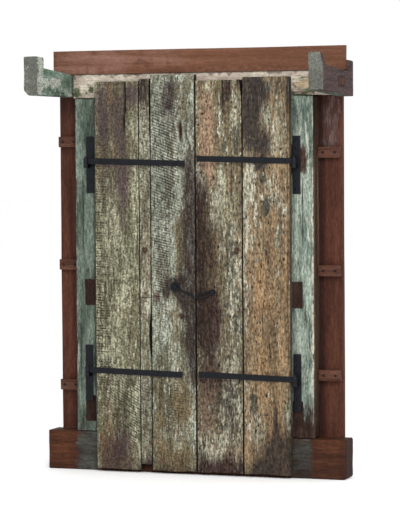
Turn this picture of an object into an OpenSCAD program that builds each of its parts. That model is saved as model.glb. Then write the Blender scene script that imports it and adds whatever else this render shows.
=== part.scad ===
// Antique double plank door in its timber frame.
// Millimetres, +Z up, +X to the right seen from the front, -Y towards the viewer.
// The origin is the centre of the sill's underside.

/* [Sill and jambs] */
// Height of the sill
sill_h = 182; // [140:1:240]
// How far the sill runs past each jamb
sill_overhang = 146; // [125:1:200]
// Width of a jamb across the front
jamb_w = 145; // [135:1:180]
// Depth of a jamb from front to back
jamb_d = 84; // [70:1:120]
// Height of the jambs between sill and lintel
jamb_h = 1560; // [1450:1:1700]
// Width of the tenons on the jambs
tenon_w = 90; // [50:1:110]
// Thickness of the tenons on the jambs and the lintel
tenon_t = 30; // [20:1:36]
// Length of the tenons on the jambs and the lintel
tenon_l = 36; // [20:1:50]
// Play round every tenon, and of the plug in its pocket
tenon_play = 0.3; // [0.1:0.1:1]
// Depth of the old hinge housings cut in the jambs
housing_depth = 4; // [2:0.5:8]
// Width of the old hinge housings
housing_w = 52; // [30:1:70]
// Height of the old hinge housings
housing_h = 116; // [60:1:140]
// How far the old housings sit below the middle of the jambs
housing_drop = 125; // [90:1:200]
// Height of the worn cut under the sill's right end
sill_wear_h = 24; // [10:1:40]
// Depth of the worn cut under the sill's right end
sill_wear_d = 46; // [20:1:60]
// Length of the worn cut under the sill's right end
sill_wear_l = 90; // [40:1:160]

/* [Lintel, arms and top board] */
// Height of the lintel
lintel_h = 112; // [90:1:150]
// How far the lintel runs past the left jamb
lintel_overhang_left = 7; // [4:1:60]
// How far the lintel runs past the right jamb
lintel_overhang_right = 100; // [60:1:115]
// Width of an arm across the front
arm_w = 72; // [60:1:90]
// How far the arms reach in front of the frame
arm_reach = 404; // [300:1:450]
// How far the arms reach behind the frame's front
arm_rear = 58; // [52:1:80]
// Height of an arm's prongs above the lintel's top
prong_h = 72; // [50:1:100]
// Thickness of the left arm's front prong
prong_left_t = 75; // [40:1:100]
// Thickness of the right arm's front prong
prong_right_t = 42; // [30:1:80]
// How far the left saddle climbs from the board to its prong
saddle_rise_left = 22; // [0:1:40]
// How far the right saddle climbs from the board to its prong
saddle_rise_right = 19; // [0:1:40]
// How far the right saddle lies below the lintel's top
saddle_drop_right = 8; // [0:1:20]
// How far the right arm's underside drops from front to back
arm_lean_right = 18; // [0:1:30]
// Cut on the left arm's lower outer corner, across the front
arm_cut_w = 23; // [10:1:30]
// Cut on the left arm's lower outer corner, upwards
arm_cut_h = 35; // [15:1:45]
// How far the left arm's underside lies above the lintel's
arm_lift_left = 5; // [0:1:15]
// How much lower the rear prongs end than the front ones
rear_low = 14; // [5:1:30]
// Width of the cut on the rear prongs' tops
rear_cut_w = 12; // [4:1:18]
// Height of the cut on the rear prongs' tops
rear_cut_h = 22; // [5:1:30]
// How much the front prongs' tops fall towards the board
prong_fall = 3; // [0:1:8]
// How much lower the right prong ends than the left
prong_right_low = 5; // [0:1:15]
// How much the right prong narrows at its top
prong_taper = 16; // [4:1:25]
// Length of the plug in the right arm
plug_l = 94; // [60:1:120]
// Height of the plug in the right arm
plug_h = 37; // [24:1:46]
// Depth of the plug's pocket
plug_d = 18; // [10:1:30]
// Distance from the plug to the frame's front
plug_front = 80; // [60:1:110]
// Thickness of the top board
board_t = 26; // [20:1:34]
// Height of the top board
board_h = 110; // [80:1:160]
// How far the top board runs past the left arm
board_over = 26; // [5:1:60]
// How far the top board ends short of the right arm's outer face
board_short = 22; // [5:1:50]
// Gap between the top board and the rear prongs
board_play = 0.5; // [0.3:0.1:3]

/* [Back planks and cleats] */
// Distance of the back planks' nails from the jambs' ends
back_nail_in = 81; // [50:1:120]
// Width of a back plank
back_w = 230; // [200:1:245]
// Thickness of a back plank
back_t = 34; // [24:1:50]
// How far a back plank shows past its jamb
back_show = 110; // [90:1:120]
// Thickness of a cleat
cleat_t = 33; // [20:1:40]
// Height of a cleat
cleat_h = 51; // [40:1:70]
// How far a cleat ends short of the back plank's edge
cleat_short = 5; // [0:1:20]
// Top left cleat below the lintel
cleat_left_drop = 202; // [120:1:300]
// Top right cleat below the lintel
cleat_right_drop = 259; // [120:1:320]
// Middle left cleat above the middle of the jambs
cleat_left_lift = 0; // [-60:1:60]
// Middle right cleat above the middle of the jambs
cleat_right_lift = -17; // [-60:1:60]
// Low left cleat above the sill
cleat_left_rise = 212; // [120:1:320]
// Low right cleat above the sill
cleat_right_rise = 286; // [120:1:320]

/* [Leaves] */
// Thickness of the planks
plank_t = 38; // [28:1:45]
// Width of the left leaf's outer plank
plank_lo_w = 219; // [180:1:260]
// Width of the left leaf's middle plank
plank_lm_w = 51; // [46:1:80]
// Width of the left leaf's inner plank
plank_li_w = 216; // [180:1:260]
// Width of the right leaf's outer plank
plank_ro_w = 224; // [180:1:260]
// Width of the right leaf's inner plank
plank_ri_w = 223; // [180:1:260]
// Gap between the left outer and middle planks
gap_left_a = 2; // [1:0.5:5]
// Gap between the left middle and inner planks
gap_left_b = 6; // [1:0.5:8]
// Gap between the right planks
gap_right = 4; // [1:0.5:8]
// Gap between the two leaves
seam_gap = 5; // [4:0.5:10]
// Gap between the closed leaves and the frame
leaf_play = 0.5; // [0.3:0.1:2]
// Height of the leaves above the floor
leaf_floor = 12; // [6:1:30]
// How much higher the left middle plank ends at the bottom
short_end = 26; // [0:1:40]
// How far the left outer plank laps the lintel
lap_lo = 78; // [50:1:100]
// How far the left middle plank laps the lintel
lap_lm = 87; // [50:1:100]
// How far the left inner plank laps the lintel
lap_li = 104; // [60:1:105]
// How far the right inner plank laps the lintel
lap_ri = 76; // [50:1:100]
// How far the right outer plank laps the lintel
lap_ro = 87; // [50:1:100]
// How far a plank's sawn ends run out of square
end_skew = 5; // [0:1:8]
// Width of the drying splits at the plank tops
split_w = 4; // [2:0.5:8]
// Depth of the drying splits
split_d = 24; // [10:1:27]
// Length of the split in the left outer plank
split_left_l = 260; // [100:1:400]
// Length of the split in the right inner plank
split_right_l = 140; // [80:1:300]
// Left split from its plank's outer edge
split_left_in = 150; // [120:1:160]
// Right split from its plank's inner edge
split_right_in = 128; // [110:1:150]
// Width of the broken corner on the right inner plank
chip_w = 8; // [3:1:15]
// Height of the broken corner on the right inner plank
chip_h = 54; // [20:1:90]
// Depth of the splinter lost from the middle plank's edge
sliver_w = 7; // [3:1:12]
// Length of the splinter lost from the middle plank's edge
sliver_l = 210; // [100:1:300]
// Splinter below the middle of the jambs
sliver_drop = 315; // [260:1:400]

/* [Ledges behind the leaves] */
// Thickness of a ledge
ledge_t = 26; // [18:1:32]
// Height of a ledge
ledge_h = 80; // [60:1:110]
// Gap between a ledge and the jamb beside it
ledge_jamb_gap = 12; // [8:1:30]
// How far a ledge ends short of the meeting edge
ledge_seam_gap = 20; // [15:1:40]
// Top ledge below the lintel
ledge_drop = 12; // [8:1:40]
// Middle ledge above the middle of the jambs
ledge_lift = 75; // [0:1:120]
// Low ledge above the sill
ledge_rise = 68; // [20:1:110]

/* [Hinges] */
// Left hinge pins from the left jamb's outer face
axis_in_left = 73; // [60:1:85]
// Right hinge pins from the right jamb's outer face
axis_in_right = 82; // [65:1:90]
// Left leaf's edge from its hinge pins
leaf_set_left = 44; // [24:1:55]
// Right leaf's edge from its hinge pins
leaf_set_right = 22; // [18:1:50]
// Radius of the hinge pins
pin_r = 7; // [5:0.5:8]
// Running clearance round the hinge pins
pin_play = 0.08; // [0.02:0.01:0.1]
// Wall of the strap's rolled eye
eye_wall = 4.5; // [3:0.5:6]
// Width of a strap
strap_w = 27; // [20:1:36]
// Thickness of a strap
strap_t = 4; // [3:0.5:6]
// Fall of the straps to the right, in degrees
strap_tilt = 1.6; // [0:0.1:2.5]
// Left top strap below the lintel
strap_left_drop = 292; // [240:1:350]
// Right top strap below the lintel
strap_right_drop = 297; // [240:1:350]
// Left low strap above the sill
strap_left_rise = 294; // [245:1:350]
// Right low strap above the sill
strap_right_rise = 272; // [240:1:350]
// Left top strap's tip from the meeting edge
tip_left_top = 47; // [10:1:70]
// Left low strap's tip from the meeting edge
tip_left_low = 66; // [10:1:70]
// Right top strap's tip from the meeting edge
tip_right_top = 6; // [4:1:40]
// Right low strap's tip from the meeting edge
tip_right_low = 10; // [4:1:40]
// Width of a pintle plate
plate_w = 38; // [30:1:50]
// Height of a pintle plate
plate_h = 264; // [180:1:300]
// Thickness of a pintle plate
plate_t = 4.5; // [3:0.5:8]
// Plate's middle below its strap
plate_drop = 18; // [0:1:40]
// End screws from the plate's ends
screw_end = 20; // [12:1:25]
// Spacing of the screws at each end of a plate
screw_pitch = 38; // [20:1:45]
// How far the left plates stray sideways from the pin line
plate_stray = 6; // [0:1:10]
// Height of a pintle's lug
lug_h = 18; // [12:1:26]
// Gap between a strap's eye and its lug
eye_play = 0.4; // [0.3:0.1:2]
// How far a hinge pin shows above the eye
pin_show = 9; // [4:1:20]

/* [Hasp] */
// Hasp stud on the left leaf from the meeting edge
bar_in = 99; // [80:1:130]
// Hasp bar's reach from its stud
bar_l = 106; // [86:1:136]
// Fall of the hasp bar at rest, in degrees
bar_fall = 26; // [20:1:40]
// Hasp studs below the middle of the jambs
hasp_drop = 93; // [60:1:140]
// Right stud below the left stud
stud_drop = 23; // [0:1:40]
// Loop's stud on the right leaf from the meeting edge
loop_in = 81; // [60:1:110]
// Loop's reach from its stud
loop_l = 84; // [64:1:112]
// Fall of the loop at rest, in degrees
loop_fall = 18; // [14:1:40]
// Radius of the rose under the hasp bar
rose_r = 23; // [16:1:30]
// Radius of a hasp stud
stud_r = 5; // [3:0.5:6]
// Play of the bar and the loop on their studs
stud_play = 0.4; // [0.3:0.1:1]
// Radius of a hasp stud's head
stud_head_r = 11; // [9:0.5:14]
// Height of a hasp stud's head
stud_head_h = 4; // [3:0.5:6]
// Thickness of the rose and of the loop's washer
washer_t = 3; // [2:0.5:5]
// Rim of the loop's washer outside its stud's head
washer_rim = 2; // [1:0.5:4]
// Thickness of the hasp iron
hasp_t = 7; // [5:0.5:10]
// Width of the bar and of the loop's sides
hasp_w = 7; // [5:0.5:10]
// Width of the loop across its slot
loop_w = 26; // [24:1:34]

/* [Nails] */
// Radius of a nail head
nail_head_r = 6; // [4:0.5:9]
// Height of a nail head
nail_head_h = 3; // [2:0.5:5]
// Radius of a nail's shank
nail_r = 2.4; // [1.5:0.1:3]
// Play of a nail in its hole
nail_play = 0.1; // [0.05:0.05:0.3]
// Distance of nails from the edge of what they hold
nail_edge = 27; // [20:1:35]
// Length of the screws behind a pintle plate
screw_l = 34; // [20:1:50]

/* [Hidden] */
$fn = 48;
// How far a cut runs past the face it starts on
past = 1;
// Width of a split at its lower end
split_end = 0.6;
sill_d = jamb_d + back_t;
front = -sill_d / 2;
left_leaf_w = plank_lo_w + gap_left_a + plank_lm_w + gap_left_b + plank_li_w;
right_leaf_w = plank_ri_w + gap_right + plank_ro_w;
left_reach = sill_overhang + axis_in_left + leaf_set_left + left_leaf_w + seam_gap / 2;
right_reach = sill_overhang + axis_in_right + leaf_set_right + right_leaf_w + seam_gap / 2;
sill_w = left_reach + right_reach;
seam_x = (left_reach - right_reach) / 2;
jamb_left_x = -sill_w / 2 + sill_overhang;
jamb_right_x = sill_w / 2 - sill_overhang;
axis_left_x = jamb_left_x + axis_in_left;
axis_right_x = jamb_right_x - axis_in_right;
lintel_z = sill_h + jamb_h;
lintel_top = lintel_z + lintel_h;
middle_z = sill_h + jamb_h / 2;
lintel_left_x = jamb_left_x - lintel_overhang_left;
lintel_right_x = jamb_right_x + lintel_overhang_right;
leaf_back = -leaf_play;
leaf_front = leaf_back - plank_t;
strap_front = leaf_front - strap_t;
axis_y = leaf_front - strap_t / 2;
eye_r = pin_r + pin_play + eye_wall;
nail_hole_r = nail_r + nail_play;

// Outer and inner edges of each plank
lo = [axis_left_x + leaf_set_left, axis_left_x + leaf_set_left + plank_lo_w];
lm = [lo[1] + gap_left_a, lo[1] + gap_left_a + plank_lm_w];
li = [lm[1] + gap_left_b, lm[1] + gap_left_b + plank_li_w];
ro = [axis_right_x - leaf_set_right - plank_ro_w, axis_right_x - leaf_set_right];
ri = [ro[0] - gap_right - plank_ri_w, ro[0] - gap_right];

// Heights of the strap, cleat and ledge rows, and of the hasp studs
strap_left_z = [lintel_z - strap_left_drop, sill_h + strap_left_rise];
strap_right_z = [lintel_z - strap_right_drop, sill_h + strap_right_rise];
cleat_left_z = [lintel_z - cleat_left_drop, middle_z + cleat_left_lift, sill_h + cleat_left_rise];
cleat_right_z = [lintel_z - cleat_right_drop, middle_z + cleat_right_lift, sill_h + cleat_right_rise];
ledge_z = [lintel_z - ledge_drop - ledge_h, middle_z + ledge_lift - ledge_h / 2, sill_h + ledge_rise];
bar_pos = [li[1] - bar_in, middle_z - hasp_drop];
loop_pos = [ri[0] + loop_in, middle_z - hasp_drop - stud_drop];

// Nail places along the straps and across the ledges
left_nail_x = [lo[0] + nail_edge, lo[1] - nail_edge, (lm[0] + lm[1]) / 2, li[0] + nail_edge,
               li[1] - tip_left_low - nail_edge];
right_nail_x = [ro[1] - nail_edge, ro[0] + nail_edge, ri[1] - nail_edge, ri[0] + tip_right_low + nail_edge];
left_ledge_x = [lo[1] - plank_lo_w / 2, (lm[0] + lm[1]) / 2, li[1] - plank_li_w / 3];
right_ledge_x = [ri[1] - nail_edge, ri[0] + plank_ri_w / 3, ro[0] + plank_ro_w / 2];
function strap_fall(x, axis_x) = (axis_x - x) * tan(strap_tilt);
left_strap_nails = [for (z = strap_left_z, x = left_nail_x) [x, z + strap_fall(x, axis_left_x)]];
right_strap_nails = [for (z = strap_right_z, x = right_nail_x) [x, z + strap_fall(x, axis_right_x)]];
left_ledge_nails = [for (z = ledge_z, x = left_ledge_x) [x, z + ledge_h / 2]];
right_ledge_nails = [for (z = ledge_z, x = right_ledge_x) [x, z + ledge_h / 2]];
plate_left_x = [axis_left_x + plate_stray, axis_left_x - plate_stray];
plate_right_x = [axis_right_x, axis_right_x];
screw_rise = [for (side = [-1, 1], end = [screw_end, screw_end + screw_pitch]) side * (plate_h / 2 - end)];
left_screws = [for (i = [0, 1], rise = screw_rise) [plate_left_x[i], strap_left_z[i] - plate_drop + rise]];
right_screws = [for (i = [0, 1], rise = screw_rise) [plate_right_x[i], strap_right_z[i] - plate_drop + rise]];

red_wood = "#6b3d2e";
mint = "#9fb59a";
cream = "#c9b79a";
grey_wood = "#8f8468";
iron = "#23252a";

// A box from its lowest to its highest corner, with y counted back from the frame's front
module block(low, high) {
    translate([low[0], front + low[1], low[2]])
        cube(high - low);
}

// An outline in x and z, made solid from y0 back to y1
module slab(points, y0, y1) {
    translate([0, front + y1, 0])
        rotate([90, 0, 0])
            linear_extrude(y1 - y0) polygon(points);
}

// An outline in y and z, made solid from x0 to x1
module bar_along_x(points, x0, x1) {
    translate([x0, front, 0])
        rotate([90, 0, 90])
            linear_extrude(x1 - x0) polygon(points);
}

// A round solid that runs along y from y0 back to y1
module round_along_y(place, r, y0, y1) {
    translate([place[0], front + y1, place[1]])
        rotate([90, 0, 0])
            cylinder(r = r, h = y1 - y0);
}

// A round-headed nail driven back from the face at y
module nail(place, y, length) {
    translate([place[0], front + y, place[1]])
        rotate([90, 0, 0])
            rotate_extrude()
                polygon([[0, -length], [nail_r, -length], [nail_r, 0], [nail_head_r, 0],
                         [nail_head_r * 0.8, nail_head_h * 0.6], [nail_head_r * 0.4, nail_head_h],
                         [0, nail_head_h]]);
}

// A nail's hole from y0 back to y1
module nail_hole(place, y0, y1) {
    round_along_y(place, nail_hole_r, y0 - past, y1 + past);
}

module jamb_tenon(x, grow) {
    mid = x + jamb_w / 2;
    for (z = [sill_h - tenon_l - grow, lintel_z])
        block([mid - tenon_w / 2 - grow, jamb_d / 2 - tenon_t / 2 - grow, z],
              [mid + tenon_w / 2 + grow, jamb_d / 2 + tenon_t / 2 + grow, z + tenon_l + grow]);
}

module lintel_tenon(grow) {
    for (x = [lintel_left_x - tenon_l - grow, lintel_right_x])
        block([x, arm_rear / 2 - tenon_t / 2 - grow, lintel_z + lintel_h / 4 - grow],
              [x + tenon_l + grow, arm_rear / 2 + tenon_t / 2 + grow, lintel_z + lintel_h * 3 / 4 + grow]);
}

module sill() {
    color(red_wood)
        difference() {
            block([-sill_w / 2, 0, 0], [sill_w / 2, sill_d, sill_h]);
            jamb_tenon(jamb_left_x, tenon_play);
            jamb_tenon(jamb_right_x - jamb_w, tenon_play);
            bar_along_x([[sill_d - sill_wear_d, -past], [sill_d + past, -past], [sill_d + past, sill_wear_h],
                         [sill_d - sill_wear_d / 3, sill_wear_h / 3], [sill_d - sill_wear_d, 0]],
                        sill_w / 2 - sill_wear_l, sill_w / 2 + past);
        }
}

// A post with its tenons, old hinge housings in its front and holes for the hinge screws
module jamb(x, side, screws) {
    seat = (side < 0) ? axis_left_x : axis_right_x;
    color(mint)
        difference() {
            union() {
                block([x, 0, sill_h], [x + jamb_w, jamb_d, lintel_z]);
                jamb_tenon(x, 0);
            }
            for (z = [middle_z - housing_drop - housing_h / 2, sill_h + housing_w])
                block([seat - housing_w / 2, -past, z], [seat + housing_w / 2, housing_depth, z + housing_h]);
            for (place = screws)
                nail_hole(place, 0, screw_l - plate_t);
        }
}

module jamb_left() { jamb(jamb_left_x, -1, left_screws); }
module jamb_right() { jamb(jamb_right_x - jamb_w, 1, right_screws); }

module lintel() {
    color(cream)
        difference() {
            union() {
                block([lintel_left_x, 0, lintel_z], [lintel_right_x, jamb_d, lintel_top]);
                lintel_tenon(0);
            }
            jamb_tenon(jamb_left_x, tenon_play);
            jamb_tenon(jamb_right_x - jamb_w, tenon_play);
        }
}

rear_top = lintel_top + prong_h - rear_low;

// The shared rear half of both arms: the board's seat, the rear prong and its worn top
function arm_back_points(seat_z, under_z) = [
    [board_t + board_play, seat_z], [board_t + board_play, rear_top], [arm_rear - rear_cut_w, rear_top],
    [arm_rear, rear_top - rear_cut_h], [arm_rear, under_z]];

module arm_left() {
    outer = lintel_left_x - arm_w;
    prong_y = -arm_reach + prong_left_t;
    prong_z = lintel_top + prong_h;
    under_z = lintel_z + arm_lift_left;
    color(mint)
        difference() {
            bar_along_x(concat(
                [[-arm_reach, under_z], [-arm_reach, prong_z], [prong_y, prong_z - prong_fall],
                 [prong_y, lintel_top + saddle_rise_left], [0, lintel_top]],
                arm_back_points(lintel_top, lintel_z)), outer, lintel_left_x);
            lintel_tenon(tenon_play);
            slab([[outer - past, lintel_z - past], [outer + arm_cut_w, lintel_z - past],
                  [outer + arm_cut_w, under_z], [outer, under_z + arm_cut_h],
                  [outer - past, under_z + arm_cut_h]], -arm_reach - past, 0);
        }
}

module plug_block(grow) {
    outer = lintel_right_x + arm_w;
    mid_z = lintel_z + lintel_h / 2;
    block([outer - plug_d - grow, -plug_front - plug_l - grow, mid_z - plug_h / 2 - grow],
          [outer + grow, -plug_front + grow, mid_z + plug_h / 2 + grow]);
}

module arm_right() {
    outer = lintel_right_x + arm_w;
    prong_y = -arm_reach + prong_right_t;
    prong_z = lintel_top + prong_h - prong_right_low;
    seat_z = lintel_top - saddle_drop_right;
    under_z = lintel_z - arm_lean_right / 2;
    color(mint)
        difference() {
            bar_along_x(concat(
                [[-arm_reach, under_z + arm_lean_right], [-arm_reach, prong_z], [prong_y, prong_z - prong_fall],
                 [prong_y, seat_z + saddle_rise_right], [0, seat_z]],
                arm_back_points(seat_z, under_z)), lintel_right_x, outer);
            lintel_tenon(tenon_play);
            plug_block(tenon_play);
            slab([[outer + past, prong_z + past], [outer - prong_taper, prong_z + past],
                  [outer, lintel_top + saddle_rise_right], [outer + past, lintel_top + saddle_rise_right]],
                 -arm_reach - past, prong_y + past);
        }
}

module arm_plug() {
    color(red_wood) plug_block(0);
}

module top_board() {
    color(red_wood)
        block([lintel_left_x - arm_w - board_over, 0, lintel_top],
              [lintel_right_x + arm_w - board_short, board_t, lintel_top + board_h]);
}

// Places of the nails that hold a back plank to its jamb
function back_nail_places(x) = [for (z = [sill_h + back_nail_in, middle_z, lintel_z - back_nail_in]) [x, z]];
back_left_nails = back_nail_places(jamb_left_x + jamb_w / 3);
back_right_nails = back_nail_places(jamb_right_x - jamb_w / 3);

module back_plank(outer, side, nails, cleat_places) {
    inner = outer + side * back_w;
    color(red_wood)
        difference() {
            block([min(outer, inner), jamb_d, sill_h], [max(outer, inner), sill_d, lintel_top]);
            for (place = nails)
                nail_hole(place, jamb_d, sill_d);
            for (place = cleat_places)
                nail_hole(place, jamb_d - past, jamb_d + back_t / 2);
        }
}

// The two nails of each cleat
function cleat_nail_places(outer, side, heights) = [for (z = heights, x = [nail_edge, back_show - nail_edge])
    [outer + side * x, z]];
back_left_x = jamb_left_x - back_show;
back_right_x = jamb_right_x + back_show;
cleat_left_nails = cleat_nail_places(back_left_x, 1, cleat_left_z);
cleat_right_nails = cleat_nail_places(back_right_x, -1, cleat_right_z);

module back_plank_left() { back_plank(back_left_x, 1, back_left_nails, cleat_left_nails); }
module back_plank_right() { back_plank(back_right_x, -1, back_right_nails, cleat_right_nails); }

module cleat(outer, jamb_x, side, z, places) {
    end = outer + side * cleat_short;
    color(red_wood)
        difference() {
            block([min(end, jamb_x), jamb_d - cleat_t, z - cleat_h / 2],
                  [max(end, jamb_x), jamb_d, z + cleat_h / 2]);
            for (place = places)
                nail_hole(place, jamb_d - cleat_t, jamb_d);
        }
}

module cleat_left_top() { cleat(back_left_x, jamb_left_x, 1, cleat_left_z[0], cleat_left_nails); }
module cleat_left_mid() { cleat(back_left_x, jamb_left_x, 1, cleat_left_z[1], cleat_left_nails); }
module cleat_left_low() { cleat(back_left_x, jamb_left_x, 1, cleat_left_z[2], cleat_left_nails); }
module cleat_right_top() { cleat(back_right_x, jamb_right_x, -1, cleat_right_z[0], cleat_right_nails); }
module cleat_right_mid() { cleat(back_right_x, jamb_right_x, -1, cleat_right_z[1], cleat_right_nails); }
module cleat_right_low() { cleat(back_right_x, jamb_right_x, -1, cleat_right_z[2], cleat_right_nails); }

module cleat_nails() {
    color(iron)
        for (place = concat(cleat_left_nails, cleat_right_nails))
            nail(place, jamb_d - cleat_t, cleat_t + back_t / 2);
}

// Headless nails, flush with the back of the planks
module back_nails() {
    color(iron)
        for (place = concat(back_left_nails, back_right_nails))
            round_along_y(place, nail_r, jamb_d, sill_d);
}

// A hinge plate on the jamb, its lug and the upright pin on it
module pintle(axis_x, plate_x, strap_z, screws) {
    lug_top = strap_z - strap_w / 2 - eye_play;
    color(iron)
        difference() {
            union() {
                block([plate_x - plate_w / 2, -plate_t, strap_z - plate_drop - plate_h / 2],
                      [plate_x + plate_w / 2, 0, strap_z - plate_drop + plate_h / 2]);
                block([axis_x - pin_r, axis_y, lug_top - lug_h], [axis_x + pin_r, -plate_t, lug_top]);
                translate([axis_x, front + axis_y, lug_top - lug_h])
                    cylinder(r = eye_r, h = lug_h);
                translate([axis_x, front + axis_y, lug_top - lug_h])
                    cylinder(r = pin_r, h = lug_h + eye_play + strap_w + pin_show);
            }
            for (place = screws)
                nail_hole(place, -plate_t, 0);
        }
}

module pintle_left_top() { pintle(axis_left_x, plate_left_x[0], strap_left_z[0], left_screws); }
module pintle_left_low() { pintle(axis_left_x, plate_left_x[1], strap_left_z[1], left_screws); }
module pintle_right_top() { pintle(axis_right_x, plate_right_x[0], strap_right_z[0], right_screws); }
module pintle_right_low() { pintle(axis_right_x, plate_right_x[1], strap_right_z[1], right_screws); }

module pintle_screws() {
    color(iron)
        for (place = concat(left_screws, right_screws))
            nail(place, -plate_t, screw_l);
}

// A plank from its outline, with the holes of its strap nails and ledge nails
module plank(points, straps, ledges) {
    color(grey_wood)
        difference() {
            slab(points, leaf_front, leaf_back);
            for (place = straps)
                nail_hole(place, leaf_front, leaf_back);
            for (place = ledges)
                nail_hole(place, leaf_front, leaf_back);
        }
}

// A drying split that starts at a plank's top and runs out below
module split(x, top, length) {
    slab([[x - split_w / 2, top + past], [x + split_w / 2, top + past], [x + split_end / 2, top - length],
          [x - split_end / 2, top - length]], leaf_front - past, leaf_front + split_d);
}

module plank_left_outer() {
    top = lintel_z + lap_lo;
    difference() {
        plank([[lo[0], leaf_floor], [lo[1], leaf_floor + end_skew], [lo[1], top - end_skew], [lo[0], top]],
              left_strap_nails, left_ledge_nails);
        color(grey_wood) split(lo[0] + split_left_in, top, split_left_l);
    }
}

module plank_left_middle() {
    top = lintel_z + lap_lm;
    foot = leaf_floor + short_end;
    hurt = middle_z - sliver_drop;
    plank([[lm[0], foot], [lm[1], foot], [lm[1], hurt - sliver_l / 2],
           [lm[1] - sliver_w, hurt - sliver_l / 3], [lm[1] - sliver_w / 2, hurt + sliver_l / 3],
           [lm[1], hurt + sliver_l / 2], [lm[1], top], [lm[0], top]],
          left_strap_nails, left_ledge_nails);
}

module plank_left_inner() {
    top = lintel_z + lap_li;
    difference() {
        plank([[li[0], leaf_floor], [li[1], leaf_floor], [li[1], top - end_skew], [li[0], top]],
              left_strap_nails, left_ledge_nails);
        color(grey_wood)
            round_along_y(bar_pos, stud_r + nail_play, leaf_front - past, leaf_back + past);
    }
}

module plank_right_inner() {
    top = lintel_z + lap_ri;
    difference() {
        plank([[ri[0], leaf_floor], [ri[1], leaf_floor + end_skew], [ri[1], top - chip_h - chip_w],
               [ri[1] - chip_w, top - chip_h], [ri[1] - chip_w * 0.7, top - end_skew], [ri[0], top]],
              right_strap_nails, right_ledge_nails);
        color(grey_wood) split(ri[0] + split_right_in, top, split_right_l);
        color(grey_wood)
            round_along_y(loop_pos, stud_r + nail_play, leaf_front - past, leaf_back + past);
    }
}

module plank_right_outer() {
    top = lintel_z + lap_ro;
    plank([[ro[0], leaf_floor + end_skew], [ro[1], leaf_floor], [ro[1], top - end_skew], [ro[0], top]],
          right_strap_nails, right_ledge_nails);
}

module ledge(x0, x1, z, places) {
    color(red_wood)
        difference() {
            block([x0, leaf_back, z], [x1, leaf_back + ledge_t, z + ledge_h]);
            for (place = places)
                nail_hole(place, leaf_back, leaf_back + ledge_t);
        }
}

module ledge_left(i) {
    ledge(jamb_left_x + jamb_w + ledge_jamb_gap, li[1] - ledge_seam_gap, ledge_z[i], left_ledge_nails);
}

module ledge_right(i) {
    ledge(ri[0] + ledge_seam_gap, jamb_right_x - jamb_w - ledge_jamb_gap, ledge_z[i], right_ledge_nails);
}

module ledge_left_top() { ledge_left(0); }
module ledge_left_mid() { ledge_left(1); }
module ledge_left_low() { ledge_left(2); }
module ledge_right_top() { ledge_right(0); }
module ledge_right_mid() { ledge_right(1); }
module ledge_right_low() { ledge_right(2); }

// A strap that runs from its rolled eye to tip_x, bored for the hinge pin and the nails
module strap(axis_x, strap_z, tip_x, places) {
    reach = abs(tip_x - axis_x) / cos(strap_tilt);
    turn = (tip_x > axis_x) ? 0 : 180;
    color(iron)
        difference() {
            union() {
                translate([axis_x, front + axis_y, strap_z - strap_w / 2])
                    cylinder(r = eye_r, h = strap_w);
                translate([axis_x, front + strap_front, strap_z])
                    rotate([0, strap_tilt, 0])
                        translate([(turn == 0) ? 0 : -reach, 0, -strap_w / 2])
                            cube([reach, strap_t, strap_w]);
            }
            translate([axis_x, front + axis_y, strap_z - strap_w])
                cylinder(r = pin_r + pin_play, h = strap_w * 2);
            for (place = places)
                nail_hole(place, strap_front, leaf_front);
            // The bar stops at the eye, level with the eye's ends
            for (end = [-1, 1])
                translate([axis_x - eye_r - past, front + axis_y - eye_r - past,
                           strap_z + ((end < 0) ? -strap_w * 1.5 : strap_w / 2)])
                    cube([2 * (eye_r + past), 2 * (eye_r + past), strap_w]);
        }
}

module strap_left_top() { strap(axis_left_x, strap_left_z[0], li[1] - tip_left_top, left_strap_nails); }
module strap_left_low() { strap(axis_left_x, strap_left_z[1], li[1] - tip_left_low, left_strap_nails); }
module strap_right_top() { strap(axis_right_x, strap_right_z[0], ri[0] + tip_right_top, right_strap_nails); }
module strap_right_low() { strap(axis_right_x, strap_right_z[1], ri[0] + tip_right_low, right_strap_nails); }

module strap_nails(places) {
    color(iron)
        for (place = places)
            nail(place, strap_front, strap_t + plank_t);
}

module strap_nails_left() { strap_nails(left_strap_nails); }
module strap_nails_right() { strap_nails(right_strap_nails); }

module ledge_nails(places) {
    color(iron)
        for (place = places)
            nail(place, leaf_front, plank_t + ledge_t);
}

module ledge_nails_left() { ledge_nails(left_ledge_nails); }
module ledge_nails_right() { ledge_nails(right_ledge_nails); }

// A stud through a plank, with a washer of radius r under the hasp iron and a head over it
module hasp_stud(place, r) {
    seat = leaf_front - washer_t;
    outside = seat - hasp_t - 2 * stud_play;
    color(iron)
        union() {
            round_along_y(place, r, seat, leaf_front);
            round_along_y(place, stud_r, outside, leaf_back);
            translate([place[0], front + outside, place[1]])
                rotate([90, 0, 0])
                    rotate_extrude()
                        polygon([[0, 0], [stud_head_r, 0], [stud_head_r * 0.7, stud_head_h * 0.8], [0, stud_head_h]]);
        }
}

module latch_rose() { hasp_stud(bar_pos, rose_r); }
module latch_stud() { hasp_stud(loop_pos, stud_head_r + washer_rim); }

// Depth of the hasp iron's face towards the plank
hasp_back = leaf_front - washer_t - stud_play;
hasp_eye_r = stud_r + stud_play + hasp_w * 0.7;

// A bar with an eye round its stud, narrowing to its tip
module latch_bar() {
    color(iron)
        translate([bar_pos[0], 0, bar_pos[1]])
            rotate([0, bar_fall, 0])
                difference() {
                    union() {
                        round_along_y([0, 0], hasp_eye_r, hasp_back - hasp_t, hasp_back);
                        slab([[0, -hasp_w * 0.7], [bar_l, -hasp_w * 0.4], [bar_l, hasp_w * 0.4],
                              [0, hasp_w * 0.7]], hasp_back - hasp_t, hasp_back);
                    }
                    round_along_y([0, 0], stud_r + stud_play, hasp_back - hasp_t - past, hasp_back + past);
                }
}

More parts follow.
